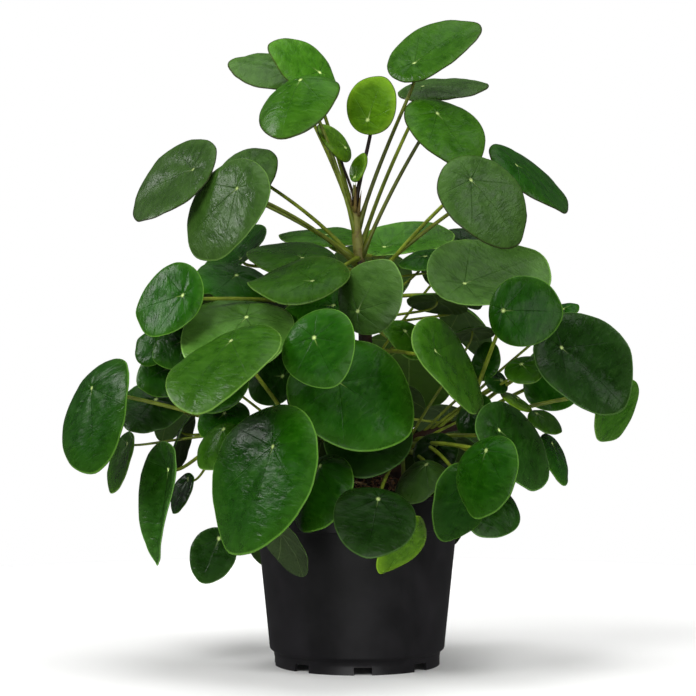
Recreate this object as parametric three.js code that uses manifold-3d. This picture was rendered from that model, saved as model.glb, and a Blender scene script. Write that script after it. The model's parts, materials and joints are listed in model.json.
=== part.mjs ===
// Potted Chinese money plant: round peltate leaves on long stalks, three stems, soil and a nursery pot.
// Millimetres, +Z up. The origin is the middle of the pot's base, and the plant's best side faces -Y.
import * as THREE from "three";
import { mergeVertices } from "three/addons/utils/BufferGeometryUtils.js";
import Module from "manifold-3d";

const wasm = await Module();
wasm.setup();

// Pot
const POT_HEIGHT = 125;
const RIM_DIAMETER = 150;
const RIM_BAND = 25;
const WALL_TOP_DIAMETER = 145;
const WALL_FOOT_DIAMETER = 127;
const FOOT_DIAMETER = 120;
const FOOT_HEIGHT = 10;
const WALL = 1.8;
const FLOOR_Z = 8;
const FLOOR_THICK = 2;
const PAD_DIAMETER = 26;
const NOTCHES = 8;
const NOTCH_WIDTH = 13;
const NOTCH_HEIGHT = 5.5;
const NOTCH_DEPTH = 20;
const NOTCH_TURN = 3;
const DRAIN_HOLES = 8;
const DRAIN_DIAMETER = 9;
const DRAIN_CIRCLE = 76;
const DRAIN_SIDES = 10;
const POT_SIDES = 40;

// Soil
const CLEAR = 0.3;
const SOIL_EDGE_Z = 117;
const SOIL_MOUND = 23;
const SOIL_LUMP = 1.1;
const SOIL_SIDES = 24;
const SOIL_RINGS = [0.86, 0.72, 0.56, 0.4, 0.22];
// A plain round hole for each stem's foot, from this height up, with this much room round the foot
const HOLE_DEPTH_Z = 80;
const HOLE_LENGTH = 80;
const HOLE_ROOM = 0.9;
const HOLE_SIDES = 12;

// A light chip of bark half sunk in the front of the mound, with room around it
const CHIP = [12.5, 9, 7.5];
const CHIP_SPOT = [2, -36, 131];
const CHIP_TURN = [-0.5, 0.2, 0.35];

// Stems, as [x, y, z, radius] from the root end in the soil to the growing tip
const MAIN_STEM = [
  [1, 2, 82, 6.2],
  [1, 2, 100, 6.2],
  [1, 2, 128, 6.1],
  [1, 2, 142, 6.0],
  [4, 0, 165, 5.6],
  [6, -2, 215, 5.2],
  [5, 0, 262, 4.8],
  [1, 0, 300, 4.4],
  [-1, 0, 326, 3.4],
  [-2, 0, 348, 1.0],
];
const LEFT_STEM = [
  [-27, -8, 86, 4.6],
  [-27, -8, 100, 4.6],
  [-27, -8, 124, 4.5],
  [-27, -8, 138, 4.4],
  [-38, -10, 156, 4.0],
  [-66, -12, 165, 3.6],
  [-96, -14, 168, 2.2],
];
const RIGHT_STEM = [
  [27, -6, 86, 4.6],
  [27, -6, 100, 4.6],
  [27, -6, 124, 4.5],
  [27, -6, 138, 4.4],
  [36, -8, 158, 4.2],
  [62, -10, 171, 3.7],
  [92, -12, 176, 2.2],
];
const BACK_STEM = [
  [3, 34, 86, 4.8],
  [3, 34, 100, 4.8],
  [3, 34, 124, 4.7],
  [3, 34, 137, 4.6],
  [5, 42, 160, 4.3],
  [2, 52, 195, 3.8],
  [0, 58, 232, 2.0],
];
const STEM_SIDES = 8;
const STEM_STEPS = 9;

// Stalks and blades
const STALK_SIDES = 5;
const YOUNG_SIDES = 4;
const STALK_STEPS = 4;
const STALK_ROOT_RADIUS = 1.75;
const STALK_TIP_RADIUS = 1.25;
const BLADE_THICK = 1.2;
const BLADE_POINTS = 12;
const YOUNG_POINTS = 10;
const RING = 0.58;
const SPOT = 0.26;
const TIP_POINT = 0.03;
const WIDTH_SHARE = 0.98;
const FLAT_LEAN = 0.35;
const MOST_DISH = 0.14;
const CLIMB = 0.06;
const CLIMB_TURN = 16;
const NECK = 9;
const SEAT_SPARE = 0.1;
const YOUNG_SLIM = 0.7;

// The plant is sighted from this distance in front of the pot's axis, a little left of it.
const SIGHT_DISTANCE = 1620;
const SIGHT_X = -6.6;
const SIGHT_Z = 240;

// Each leaf as it is sighted against the plane of the pot's axis: name, stem, place along the stem,
// [across, up] of the stalk's bright spot, [across, up] of the middle of the outline, depth (y) of the
// spot, the outline's long and short measures (a short one below zero shows the underside), the slant
// of the long one, with the face leaning to its left, the curl up of the sides and the wave of the edge.
const LEAVES = [
  ["leaf_top_1", "main", 0.87, [43, 434], [55, 448], 8, 74, 34, 26, 3, 1, 6],
  ["leaf_top_2", "main", 0.81, [48, 417], [62, 418.5], 50, 65, 15, 5, 1, 0, 8],
  ["leaf_top_3", "main", 0.79, [57, 398], [65, 388], -12, 67, 40, -35, 3, 1, 6],
  ["leaf_top_4", "main", 0.69, [81, 350], [93, 337], -64, 77, 54, -48, 3, 1, 4],
  ["leaf_top_5", "main", 0.72, [114, 360], [127, 353], 8, 75, 21, -40, 2, 1, 4],
  ["leaf_top_6", "main", 0.88, [-47, 429], [-62, 431], 60, 62, 26, -12, 2, 1, 8],
  ["leaf_top_7", "main", 0.87, [-29, 428], [-37, 433], 34, 62, 30, -42, 2, 1, 8],
  ["leaf_top_8", "main", 0.85, [-40, 422], [-43, 406.5], -16, 66, 34, 28, 2, 1, 12],
  ["leaf_top_9", "main", 0.94, [9, 395], [10.5, 406], -20, 43, 37, 70, 2, 1],
  ["leaf_left_1", "main", 0.79, [-117, 357], [-135, 352], -6, 80, 35, 45, 3, 1, 4],
  ["leaf_left_2", "main", 0.77, [-85, 344], [-96, 330.5], -46, 81, 50, 60, 3, 1, 8],
  ["leaf_left_3", "main", 0.78, [-78, 357], [-84, 351], 36, 62, 36, 45, 2, 1, 6],
  ["leaf_left_4", "main", 0.76, [-83, 292], [-90, 301], 62, 58, 20, 38, 2, 1],
  ["leaf_left_5", "main", 0.73, [-40, 292], [-48, 296], -14, 68, 24, -3, 2, 1],
  ["leaf_left_6", "main", 0.8, [-32, 275], [-43, 280.5], -80, 77, 31, 9, 3, 2],
  ["leaf_left_7", "main", 0.66, [-88, 280], [-92, 277], 20, 56, 32, -5, 2, 1],
  ["leaf_left_8", "main", 0.62, [-125, 266.5], [-138, 264], -50, 61, 41, 57, 3, 1, 10],
  ["leaf_left_9", "main", 0.56, [-80, 249], [-88, 240], -45, 85, 54, 12, 3, 2],
  ["leaf_left_10", "left", 0.5, [-90, 231.5], [-98, 218], -107, 93, 42, 30, 3, 2],
  ["leaf_left_11", "left", 0.8, [-190, 199], [-190.5, 181.5], -34, 87, 42, 69, 3, 1],
  ["leaf_left_12", "left", 0.66, [-146, 190], [-149, 187], 8, 51, 35, 12, 2, 1],
  ["leaf_left_13", "left", 0.95, [-134, 140.5], [-151, 118], -30, 88, 34, 86, 3, 1, 0, 0.6],
  ["leaf_left_14", "main", 0.78, [-22, 309], [-28, 311], 50, 60, 13, 0, 2, 1],
  ["leaf_front_1", "left", 0.52, [-57.5, 156], [-70.5, 134.5], -134, 116, 72, 68, 4, 2],
  ["leaf_front_2", "left", 0.5, [-24.5, 142], [-26, 124], -92, 60, 42, 62, 3, 1],
  ["leaf_front_3", "main", 0.42, [-14, 202], [-3.5, 195], -98, 96, 78, -20, 4, 2],
  ["leaf_front_4", "main", 0.62, [-30, 236], [-27.5, 230], -126, 60, 52, 55, 3, 1],
  ["leaf_front_5", "main", 0.62, [-17, 258], [-26, 258], -36, 52, 30, 5, 2, 1],
  ["leaf_front_6", "main", 0.66, [2, 255.5], [10, 267], -76, 57, 47, 65, 3, 1],
  ["leaf_front_7", "main", 0.42, [-53, 208], [-62, 208], -38, 44, 36, 60, 2, 1],
  ["leaf_front_8", "right", 0.46, [15, 117.5], [12.5, 105], -126, 62, 50, -12, 3, 1, 7],
  ["leaf_front_9", "right", 0.5, [38, 96], [33, 85], -100, 50, 24, 230, 2, 1, 24],
  ["leaf_front_10", "right", 0.5, [51.5, 142.5], [46.5, 131.5], -82, 42, 26, 28, 2, 1, 8],
  ["leaf_front_11", "main", 0.3, [10, 172], [8, 162.5], -50, 66, 49, 5, 2, 1],
  ["leaf_right_1", "main", 0.8, [20, 300], [35, 313], 43, 67, 25, 5, 2, 1],
  ["leaf_right_2", "main", 0.68, [78, 273], [97, 286], -48, 92, 51, -5, 3, 2],
  ["leaf_right_3", "right", 0.9, [107, 256], [121.5, 256], -94, 54, 52, 45, 3, 1],
  ["leaf_right_4", "right", 0.84, [147, 228], [167, 219], -52, 83, 63, -50, 4, 2],
  ["leaf_right_5", "right", 0.92, [184, 194], [189, 183], -26, 52, 27, 242, 2, 1],
  ["leaf_right_6", "main", 0.54, [55, 226], [69, 216], -90, 81, 32, -59, 3, 1],
  ["leaf_right_7", "main", 0.46, [34, 240], [36, 237], -28, 38, 22, -30, 2, 1],
  ["leaf_right_8", "right", 0.6, [101, 168], [115.5, 158.5], -80, 73, 40, -57, 3, 1],
  ["leaf_right_9", "right", 0.56, [96, 154], [94.5, 136.5], -138, 62, 43, 70, 3, 1],
  ["leaf_right_10", "right", 0.56, [78, 131], [74, 117], -98, 58, 39, 255, 3, 1, 14],
  ["leaf_right_11", "right", 0.62, [105, 119], [98.5, 111], -66, 44, 36, -40, 2, 1],
  ["leaf_right_12", "right", 0.88, [146, 210], [142, 206], 6, 48, 40, -60, 2, 1],
];

// Young and half-hidden leaves in the same terms, fused to the stem that bears them
const YOUNG_LEAVES = [
  ["young_1", "main", 0.95, [-10, 374], [-15.5, 379.5], 6, 34, 14, -51, 1, 0],
  ["young_2", "main", 0.96, [0, 353], [0, 361], -8, 22, 11, 68, 1, 0],
  ["young_3", "main", 0.62, [50, 294], [50, 294], -16, 38, 15, 8, 1, 0],
  ["young_4", "main", 0.62, [58, 262], [58, 262], -30, 44, -14, -8, 1, 0],
  ["young_5", "main", 0.48, [76, 305], [78, 306], 48, 40, 24, -5, 1, 0],
  ["young_6", "main", 0.48, [-122, 250], [-119, 254], -17, 38, -24, 40, 1, 0],
  ["young_7", "main", 0.44, [-143, 228], [-149, 231], -14, 33, 23, 50, 1, 0],
  ["young_8", "main", 0.4, [-134, 214], [-139, 212], -2, 44, 36, 20, 1, 0],
  ["young_9", "main", 0.42, [-124, 234], [-128, 232], -26, 44, 34, 30, 1, 0],
  ["young_10", "left", 0.5, [-98, 206], [-100, 202], -58, 44, 36, 30, 1, 0],
  ["young_11", "left", 0.86, [-165, 159], [-173.5, 147], -12, 46, 15, 73, 1, 0],
  ["young_12", "left", 0.92, [-126, 167], [-127, 161], 2, 42, -10, 72, 1, 0],
  ["young_13", "left", 0.98, [-121, 133], [-128.5, 124.5], 4, 31, 13, 67, 1, 0],
  ["young_14", "left", 0.7, [-96, 169], [-101, 158], -84, 40, 26, 47, 1, 0],
  ["young_15", "left", 0.6, [-96, 180], [-98, 178], -60, 40, 26, 20, 1, 0],
  ["young_16", "left", 0.5, [-57, 93], [-53, 87], -92, 54, -22, -52, 1, 0, 28],
  ["young_17", "left", 0.56, [-99, 90], [-106, 79], -86, 41, 34, 70, 1, 0, 22],
  ["young_18", "right", 0.76, [150, 256], [152, 257], -18, 20, 11, 15, 1, 0],
  ["young_19", "right", 0.94, [130, 180], [137, 176], -30, 27, 14, -28, 1, 0],
  ["young_20", "right", 0.97, [140, 159], [145, 149], -24, 40, 14, -67, 1, 0],
  ["young_21", "right", 0.9, [116, 191], [116, 190.5], -22, 27, 6, -30, 1, 0],
  ["young_22", "right", 0.5, [58, 158], [57, 153], -46, 34, 30, 20, 1, 0],
  ["young_23", "right", 0.64, [94, 215], [93, 220], -30, 30, 20, 70, 1, 0],
  ["young_24", "right", 0.72, [120, 216], [122, 214], -44, 30, 20, 10, 1, 0],
  ["young_25", "right", 0.66, [104, 205], [102, 205], -30, 20, 14, -50, 1, 0],
  ["young_26", "right", 0.5, [84, 240], [84, 240], -20, 34, -10, 8, 1, 0],
  ["young_27", "right", 0.5, [84, 184], [85, 180], -36, 34, 24, 60, 1, 0],
];

// Leaves on the far side: name, stem, place along it, bearing of the spot round the pot's axis (0 is
// +X, 90 is the back), its distance out and height, blade size, how far the face looks up, the turn of
// the tip from straight down, the dish, the curl, and the climb of a stalk over the rim.
const BACK_LEAVES = [
  ["leaf_back_1", "main", 0.8, 78, 68, 298, 64, 46, 20, -3, 3],
  ["leaf_back_2", "main", 0.72, 122, 98, 266, 76, 38, -15, -3, 3],
  ["leaf_back_3", "main", 0.62, 66, 96, 228, 78, 36, 12, -3, 3],
  ["leaf_back_4", "back", 0.94, 98, 128, 210, 80, 32, -8, -3, 4],
  ["leaf_back_5", "back", 0.7, 126, 128, 150, 72, 24, 14, -3, 3],
];
const YOUNG_BACK_LEAVES = [
  ["young_28", "main", 0.72, 138, 112, 276, 54, 44, 10, -2, 2],
  ["young_29", "main", 0.72, 44, 92, 290, 56, 48, -12, -2, 2],
  ["young_30", "main", 0.6, 28, 86, 257, 56, 40, 8, -2, 2],
  ["young_31", "left", 0.8, 150, 150, 196, 56, 30, 12, -2, 2],
  ["young_32", "main", 0.52, 140, 118, 228, 58, 34, -14, -2, 2],
  ["young_33", "back", 0.62, 56, 126, 172, 68, 28, -10, -2, 3],
  ["young_34", "right", 0.7, 30, 102, 152, 50, 24, 8, -2, 2],
  ["young_35", "back", 0.5, 87, 130, 130, 64, 18, 6, -2, 2, 6],
  ["young_36", "back", 0.5, 124, 118, 94, 48, 6, -12, -2, 2, 20],
  ["young_37", "back", 0.5, 58, 116, 112, 56, 12, 10, -2, 2, 18],
  ["young_38", "back", 0.8, 74, 92, 196, 52, 40, -6, -2, 2],
  ["young_39", "main", 0.42, 122, 48, 160, 42, 8, 10, -1, 2],
  ["young_40", "main", 0.42, 46, 56, 160, 40, 8, -10, -1, 2],
];

const RAD = Math.PI / 180;

// A closed three.js geometry as a solid for joins and cuts
function solidOf(geometry) {
  const bare = geometry.index ? geometry.toNonIndexed() : geometry.clone();
  bare.deleteAttribute("normal");
  bare.deleteAttribute("uv");
  const merged = mergeVertices(bare, 1e-4);
  return new wasm.Manifold(
    new wasm.Mesh({
      numProp: 3,
      vertProperties: merged.attributes.position.array,
      triVerts: new Uint32Array(merged.index.array),
    }),
  );
}

function geometryOf(solid) {
  const mesh = solid.getMesh();
  const geometry = new THREE.BufferGeometry();
  geometry.setAttribute("position", new THREE.BufferAttribute(mesh.vertProperties, 3));
  geometry.setIndex(new THREE.BufferAttribute(mesh.triVerts, 1));
  return geometry;
}

function joined(geometries) {
  let solid = solidOf(geometries[0]);
  for (const geometry of geometries.slice(1)) {
    solid = solid.add(solidOf(geometry));
  }
  return geometryOf(solid);
}

// A lathe turned about +Z from [radius, z] points
function turned(points, sides = POT_SIDES) {
  const profile = points.map(([r, z]) => new THREE.Vector2(r, z));
  return new THREE.LatheGeometry(profile, sides).rotateX(Math.PI / 2);
}

// A round tube along a curve, its radius going from the root's to the tip's
function tube(curve, sides, steps, radiusAt) {
  const corners = [];
  for (let i = 0; i < sides; i++) {
    const a = (i / sides) * 2 * Math.PI;
    corners.push(new THREE.Vector2(Math.cos(a), Math.sin(a)));
  }
  const geometry = new THREE.ExtrudeGeometry(new THREE.Shape(corners), {
    steps,
    bevelEnabled: false,
    extrudePath: curve,
  });
  const stations = curve.getSpacedPoints(steps);
  const position = geometry.attributes.position;
  const point = new THREE.Vector3();
  for (let i = 0; i < position.count; i++) {
    point.fromBufferAttribute(position, i);
    let nearest = 0;
    for (let s = 1; s <= steps; s++) {
      if (point.distanceTo(stations[s]) < point.distanceTo(stations[nearest])) nearest = s;
    }
    point.sub(stations[nearest]).multiplyScalar(radiusAt(nearest / steps)).add(stations[nearest]);
    position.setXYZ(i, point.x, point.y, point.z);
  }
  return geometry;
}

// A stem: its centre line and its radius, both by the share of its length
class Stem {
  constructor(points) {
    this.curve = new THREE.CatmullRomCurve3(points.map(([x, y, z]) => new THREE.Vector3(x, y, z)));
    this.curve.arcLengthDivisions = 400;
    this.radii = points.map(([, , , radius]) => radius);
    this.foot = points[0];
  }
  radiusAt(share) {
    const place = share * (this.radii.length - 1);
    const i = Math.min(Math.floor(place), this.radii.length - 2);
    return THREE.MathUtils.lerp(this.radii[i], this.radii[i + 1], place - i);
  }
  geometry() {
    return tube(this.curve, STEM_SIDES, STEM_STEPS, (share) => this.radiusAt(share));
  }
}

const stems = {
  main: new Stem(MAIN_STEM),
  left: new Stem(LEFT_STEM),
  right: new Stem(RIGHT_STEM),
  back: new Stem(BACK_STEM),
};

// Where a blade is and how it is turned: tip, side and face are unit vectors, reach goes from the spot
// to the outline's middle, and dish is how far the rim stands toward the face from the spot. They
// follow from the outline's tilt against the line of sight to the spot, and from where the spot shows
// inside it.
function sightedPose(spotAt, middleAt, depth, long, short, slant) {
  const grow = (SIGHT_DISTANCE + depth) / SIGHT_DISTANCE;
  const [across, up] = spotAt;
  const spot = new THREE.Vector3(
    SIGHT_X + (across - SIGHT_X) * grow,
    depth,
    SIGHT_Z + (up - SIGHT_Z) * grow,
  );
  const size = long * grow;
  const lean = Math.acos(short / long);
  const back = new THREE.Vector3(spot.x - SIGHT_X, SIGHT_DISTANCE + depth, spot.z - SIGHT_Z).normalize();
  const flatAlong = new THREE.Vector3(Math.cos(slant * RAD), 0, Math.sin(slant * RAD));
  const flatLeft = new THREE.Vector3(-flatAlong.z, 0, flatAlong.x);
  const along = flatAlong.clone().addScaledVector(back, -flatAlong.dot(back)).normalize();
  const left = new THREE.Vector3().crossVectors(along, back);
  const face = left.clone().multiplyScalar(Math.sin(lean)).addScaledVector(back, -Math.cos(lean));
  const level = left.clone().multiplyScalar(Math.cos(lean)).addScaledVector(back, Math.sin(lean));
  const shift = new THREE.Vector3(middleAt[0] - across, 0, middleAt[1] - up).multiplyScalar(grow);
  const a = shift.dot(flatAlong);
  const b = shift.dot(flatLeft);
  const most = (0.5 - SPOT) * size;
  const room = Math.sqrt(Math.max(most * most - a * a, 0));
  const flatShift = b / Math.cos(lean);
  const sideways = Math.abs(flatShift) <= room || lean < FLAT_LEAN ? flatShift : Math.sign(flatShift) * room;
  const dishRoom = MOST_DISH * size;
  const rawDish = lean < FLAT_LEAN ? 0 : (b - sideways * Math.cos(lean)) / Math.sin(lean);
  const dish = THREE.MathUtils.clamp(rawDish, -dishRoom, dishRoom);
  const tip = along.clone().multiplyScalar(a).addScaledVector(level, sideways);
  const reach = tip.length();
  if (reach < 0.5) tip.copy(along).multiplyScalar(along.z > 0 ? -1 : 1);
  tip.normalize();
  const side = new THREE.Vector3().crossVectors(face, tip);
  return { spot, tip, side, face, size, reach, dish };
}

function bearingPose(bearing, out, height, size, look, turn, dish) {
  const radial = new THREE.Vector3(Math.cos(bearing * RAD), Math.sin(bearing * RAD), 0);
  const spot = radial.clone().multiplyScalar(out).setZ(height);
  const face = radial.clone().multiplyScalar(Math.cos(look * RAD)).setZ(Math.sin(look * RAD));
  const down = new THREE.Vector3(0, 0, -1).addScaledVector(face, face.z).normalize();
  const tip = down.applyAxisAngle(face, turn * RAD);
  const side = new THREE.Vector3().crossVectors(face, tip);
  return { spot, tip, side, face, size, reach: (0.5 - SPOT) * size, dish };
}

// A place on the blade's outline in its own plane, from the spot: nearly round with a slight point,
// unless it tapers to a drawn-out tip
function outlineAt(angle, { size, reach }, taper) {
  const point = Math.exp(-((angle / 0.35) ** 2));
  const along = reach + size * (0.5 * Math.cos(angle) + TIP_POINT * point);
  const narrow = (1 - 0.05 * Math.cos(angle)) * (1 - (taper * (1 + Math.cos(angle))) / 2);
  const across = WIDTH_SHARE * (size / 2) * Math.sin(angle) * narrow;
  return [along, across];
}

// How far the blade rises toward its face, at a share of the way from the spot out to the rim
function riseAt(share, angle, { dish, size }, curl, wave) {
  const bend = -curl * Math.cos(2 * angle) + wave * Math.sin(3 * angle + size);
  return dish * share ** 1.5 + bend * share * share;
}

// A blade of one thickness, with both faces split into the same triangles
function blade(leaf) {
  const { spot, tip, side, face } = leaf.pose;
  const points = leaf.young ? YOUNG_POINTS : BLADE_POINTS;
  const shares = leaf.young ? [1] : [RING, 1];
  const flat = [[0, 0, 0]];
  for (const share of shares) {
    for (let i = 0; i < points; i++) {
      const angle = ((i + 0.5) / points - 0.5) * 2 * Math.PI;
      const [along, across] = outlineAt(angle, leaf.pose, leaf.taper);
      flat.push([along * share, across * share, riseAt(share, angle, leaf.pose, leaf.curl, leaf.wave)]);
    }
  }
  const vertices = [];
  for (const half of [BLADE_THICK / 2, -BLADE_THICK / 2]) {
    for (const [along, across, rise] of flat) {
      const place = spot
        .clone()
        .addScaledVector(tip, along)
        .addScaledVector(side, across)
        .addScaledVector(face, rise + half);
      vertices.push(place.x, place.y, place.z);
    }
  }
  const under = flat.length;
  const index = [];
  const triangle = (a, b, c) => {
    index.push(a, b, c);
    index.push(under + a, under + c, under + b);
  };
  const rim = 1 + (shares.length - 1) * points;
  for (let i = 0; i < points; i++) {
    const j = (i + 1) % points;
    triangle(0, 1 + i, 1 + j);
    if (!leaf.young) {
      triangle(1 + i, 1 + points + i, 1 + points + j);
      triangle(1 + i, 1 + points + j, 1 + j);
    }
    index.push(rim + i, under + rim + i, under + rim + j);
    index.push(rim + i, under + rim + j, rim + j);
  }
  const geometry = new THREE.BufferGeometry();
  geometry.setAttribute("position", new THREE.Float32BufferAttribute(vertices, 3));
  geometry.setIndex(index);
  return geometry;
}

// The stalk leaves its stem toward the blade and meets it from behind at the spot, in a short bent
// neck. One that must pass over the pot's rim climbs first and comes down to its blade.
function stalk(leaf) {
  const { spot, face, size, dish } = leaf.pose;
  const stem = stems[leaf.stem];
  const root = stem.curve.getPointAt(leaf.place);
  const outward = spot.clone().sub(root).normalize();
  root.addScaledVector(outward, 0.5 * stem.radiusAt(leaf.place));
  const neck = face.clone();
  if (spot.z < root.z) neck.z -= leaf.climb / CLIMB_TURN;
  neck.normalize();
  const askew = Math.sqrt(1 - Math.min(neck.dot(face) ** 2, 1)) + (2 * Math.max(-dish, 0)) / size;
  const seat = BLADE_THICK / 2 + CLEAR + SEAT_SPARE + STALK_TIP_RADIUS * askew;
  const end = spot.clone().addScaledVector(face, leaf.young ? 0 : -seat);
  const reach = root.distanceTo(end);
  const first = root.clone().lerp(end, 0.4);
  first.z += leaf.climb + CLIMB * reach;
  const last = end.clone().addScaledVector(neck, -Math.min(NECK, 0.25 * reach));
  const curve = new THREE.CubicBezierCurve3(root, first, last, end);
  const slim = leaf.young ? YOUNG_SLIM : 1;
  const radiusAt = (share) => slim * THREE.MathUtils.lerp(STALK_ROOT_RADIUS, STALK_TIP_RADIUS, share);
  return tube(curve, leaf.young ? YOUNG_SIDES : STALK_SIDES, STALK_STEPS, radiusAt);
}

function sightedLeaf(row, young) {
  const [name, stem, place, spotAt, middleAt, depth, long, short, slant, curl, wave] = row;
  const [climb = 0, taper = 0] = row.slice(11);
  const pose = sightedPose(spotAt, middleAt, depth, long, short, slant);
  return { name, stem, place, pose, curl, wave, climb, taper, young };
}

function backLeaf(row, young) {
  const [name, stem, place, bearing, out, height, size, look, turn, dish, curl, climb = 0] = row;
  const pose = bearingPose(bearing, out, height, size, look, turn, dish);
  return { name, stem, place, pose, curl, wave: 1, climb, taper: 0, young };
}

const leaves = [
  ...LEAVES.map((row) => sightedLeaf(row, false)),
  ...BACK_LEAVES.map((row) => backLeaf(row, false)),
];
const youngLeaves = [
  ...YOUNG_LEAVES.map((row) => sightedLeaf(row, true)),
  ...YOUNG_BACK_LEAVES.map((row) => backLeaf(row, true)),
];

// A stem with every stalk that grows from it, and the young leaves' blades
function dressedStem(name) {
  const pieces = [stems[name].geometry()];
  for (const leaf of leaves.filter((one) => one.stem === name)) {
    pieces.push(stalk(leaf));
  }
  for (const leaf of youngLeaves.filter((one) => one.stem === name)) {
    pieces.push(stalk(leaf), blade(leaf));
  }
  return joined(pieces);
}

function pot() {
  const rim = RIM_DIAMETER / 2;
  const wallTop = WALL_TOP_DIAMETER / 2;
  const wallFoot = WALL_FOOT_DIAMETER / 2;
  const foot = FOOT_DIAMETER / 2;
  const pad = PAD_DIAMETER / 2;
  const bandZ = POT_HEIGHT - RIM_BAND;
  const wallZ = FOOT_HEIGHT + 2;
  const shell = solidOf(
    turned([
      [0, 0],
      [pad, 0],
      [pad, FLOOR_Z],
      [foot - WALL, FLOOR_Z],
      [foot - WALL, 0],
      [foot, 0],
      [foot + 0.6, FOOT_HEIGHT],
      [wallFoot, wallZ],
      [wallTop, bandZ],
      [wallTop + 1.2, bandZ + 0.8],
      [rim - 0.8, POT_HEIGHT - 2.5],
      [rim, POT_HEIGHT - 1.6],
      [rim - 0.4, POT_HEIGHT],
      [rim - WALL, POT_HEIGHT],
      [rim - WALL - 0.9, bandZ + 3],
      [wallTop - WALL, bandZ - 1],
      [wallFoot - WALL, wallZ + 2],
      [wallFoot - WALL - 2, FLOOR_Z + FLOOR_THICK],
      [0, FLOOR_Z + FLOOR_THICK],
    ]),
  );
  let cut = shell;
  for (let i = 0; i < NOTCHES; i++) {
    const angle = (-90 + NOTCH_TURN + (i * 360) / NOTCHES) * RAD;
    const notch = new THREE.BoxGeometry(NOTCH_DEPTH, NOTCH_WIDTH, 2 * NOTCH_HEIGHT)
      .translate(foot, 0, 0)
      .rotateZ(angle);
    cut = cut.subtract(solidOf(notch));
  }
  for (let i = 0; i < DRAIN_HOLES; i++) {
    const angle = ((i + 0.5) * 2 * Math.PI) / DRAIN_HOLES;
    const hole = new THREE.CylinderGeometry(DRAIN_DIAMETER / 2, DRAIN_DIAMETER / 2, 10, DRAIN_SIDES)
      .rotateX(Math.PI / 2)
      .translate((DRAIN_CIRCLE / 2) * Math.cos(angle), (DRAIN_CIRCLE / 2) * Math.sin(angle), FLOOR_Z);
    cut = cut.subtract(solidOf(hole));
  }
  return geometryOf(cut);
}

// A chip of bark, or the room it needs, which is larger by the gap all round
function barkChip(gap) {
  const [long, wide, thick] = CHIP.map((size) => size / 2 + gap);
  return new THREE.IcosahedronGeometry(1, 1)
    .scale(long, wide, thick)
    .rotateX(CHIP_TURN[0])
    .rotateY(CHIP_TURN[1])
    .rotateZ(CHIP_TURN[2])
    .translate(...CHIP_SPOT);
}

// The soil fills the pot, mounds up to its middle in small lumps, and has a plain hole for each stem
function soil() {
  const wallZ = FOOT_HEIGHT + 2;
  const footIn = WALL_FOOT_DIAMETER / 2 - WALL - CLEAR;
  const topIn = WALL_TOP_DIAMETER / 2 - WALL - CLEAR;
  const low = FLOOR_Z + FLOOR_THICK + CLEAR;
  const edge = topIn - 0.3;
  const profile = [
    [0, low],
    [footIn - 2.4, low],
    [footIn - 0.3, wallZ + 3],
    [topIn - 0.4, POT_HEIGHT - RIM_BAND - 2],
    [edge, SOIL_EDGE_Z - 4],
    [edge - 1, SOIL_EDGE_Z],
  ];
  for (const share of SOIL_RINGS) {
    profile.push([edge * share, SOIL_EDGE_Z + SOIL_MOUND * (1 - share * share)]);
  }
  profile.push([0, SOIL_EDGE_Z + SOIL_MOUND]);
  const geometry = turned(profile, SOIL_SIDES);
  const position = geometry.attributes.position;
  for (let i = 0; i < position.count; i++) {
    const [x, y, z] = [position.getX(i), position.getY(i), position.getZ(i)];
    const out = Math.hypot(x, y);
    if (z > SOIL_EDGE_Z - 1 && out > 1) {
      const lump = Math.sin(x * 0.23 + 1) * Math.cos(y * 0.27) + Math.sin(x * 0.41 - y * 0.37);
      position.setZ(i, z + SOIL_LUMP * lump);
    }
  }
  let solid = solidOf(geometry).subtract(solidOf(barkChip(CLEAR)));
  for (const { foot } of Object.values(stems)) {
    const [x, y, , radius] = foot;
    const room = radius + HOLE_ROOM;
    const hole = new THREE.CylinderGeometry(room, room, HOLE_LENGTH, HOLE_SIDES)
      .rotateX(Math.PI / 2)
      .translate(x, y, HOLE_DEPTH_Z + HOLE_LENGTH / 2);
    solid = solid.subtract(solidOf(hole));
  }
  return geometryOf(solid);
}

const leafGreen = new THREE.MeshStandardMaterial({ color: 0x2b641b, roughness: 0.42, metalness: 0 });
const stalkGreen = new THREE.MeshStandardMaterial({ color: 0x6f8038, roughness: 0.5, metalness: 0 });
const potBlack = new THREE.MeshStandardMaterial({ color: 0x2a282c, roughness: 0.55, metalness: 0 });
const soilBrown = new THREE.MeshStandardMaterial({ color: 0x3a211a, roughness: 0.95, metalness: 0 });
const barkBrown = new THREE.MeshStandardMaterial({ color: 0x8a5638, roughness: 0.85, metalness: 0 });

function piece(name, geometry, material) {
  const mesh = new THREE.Mesh(geometry, material);
  mesh.name = name;
  return mesh;
}

const plant = new THREE.Group();
plant.name = "potted_chinese_money_plant";
plant.add(piece("pot", pot(), potBlack));
plant.add(piece("soil", soil(), soilBrown));
plant.add(piece("bark_chip", joined([barkChip(0)]), barkBrown));
plant.add(piece("main_stem", dressedStem("main"), stalkGreen));
plant.add(piece("left_stem", dressedStem("left"), stalkGreen));
plant.add(piece("right_stem", dressedStem("right"), stalkGreen));
plant.add(piece("back_stem", dressedStem("back"), stalkGreen));
for (const leaf of leaves) {
  plant.add(piece(leaf.name, blade(leaf), leafGreen));
}

export default plant;
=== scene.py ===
"""Potted Chinese money plant: round leaves on long stalks, four stems, soil and a black nursery pot.

Everything is built in metres in the frame of the solids: +Z up, the origin in the middle of the pot's
base, and the plant's best side towards -Y. The tables and the classes give the plant, the soil and the
pot in millimetres, and the studio in metres.
"""

import json
import logging
import math
import random
from dataclasses import dataclass, field
from enum import Enum
from functools import cached_property
from typing import Any, Iterable, NamedTuple

import bmesh
import bpy
from mathutils import Matrix, Vector, noise

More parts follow.
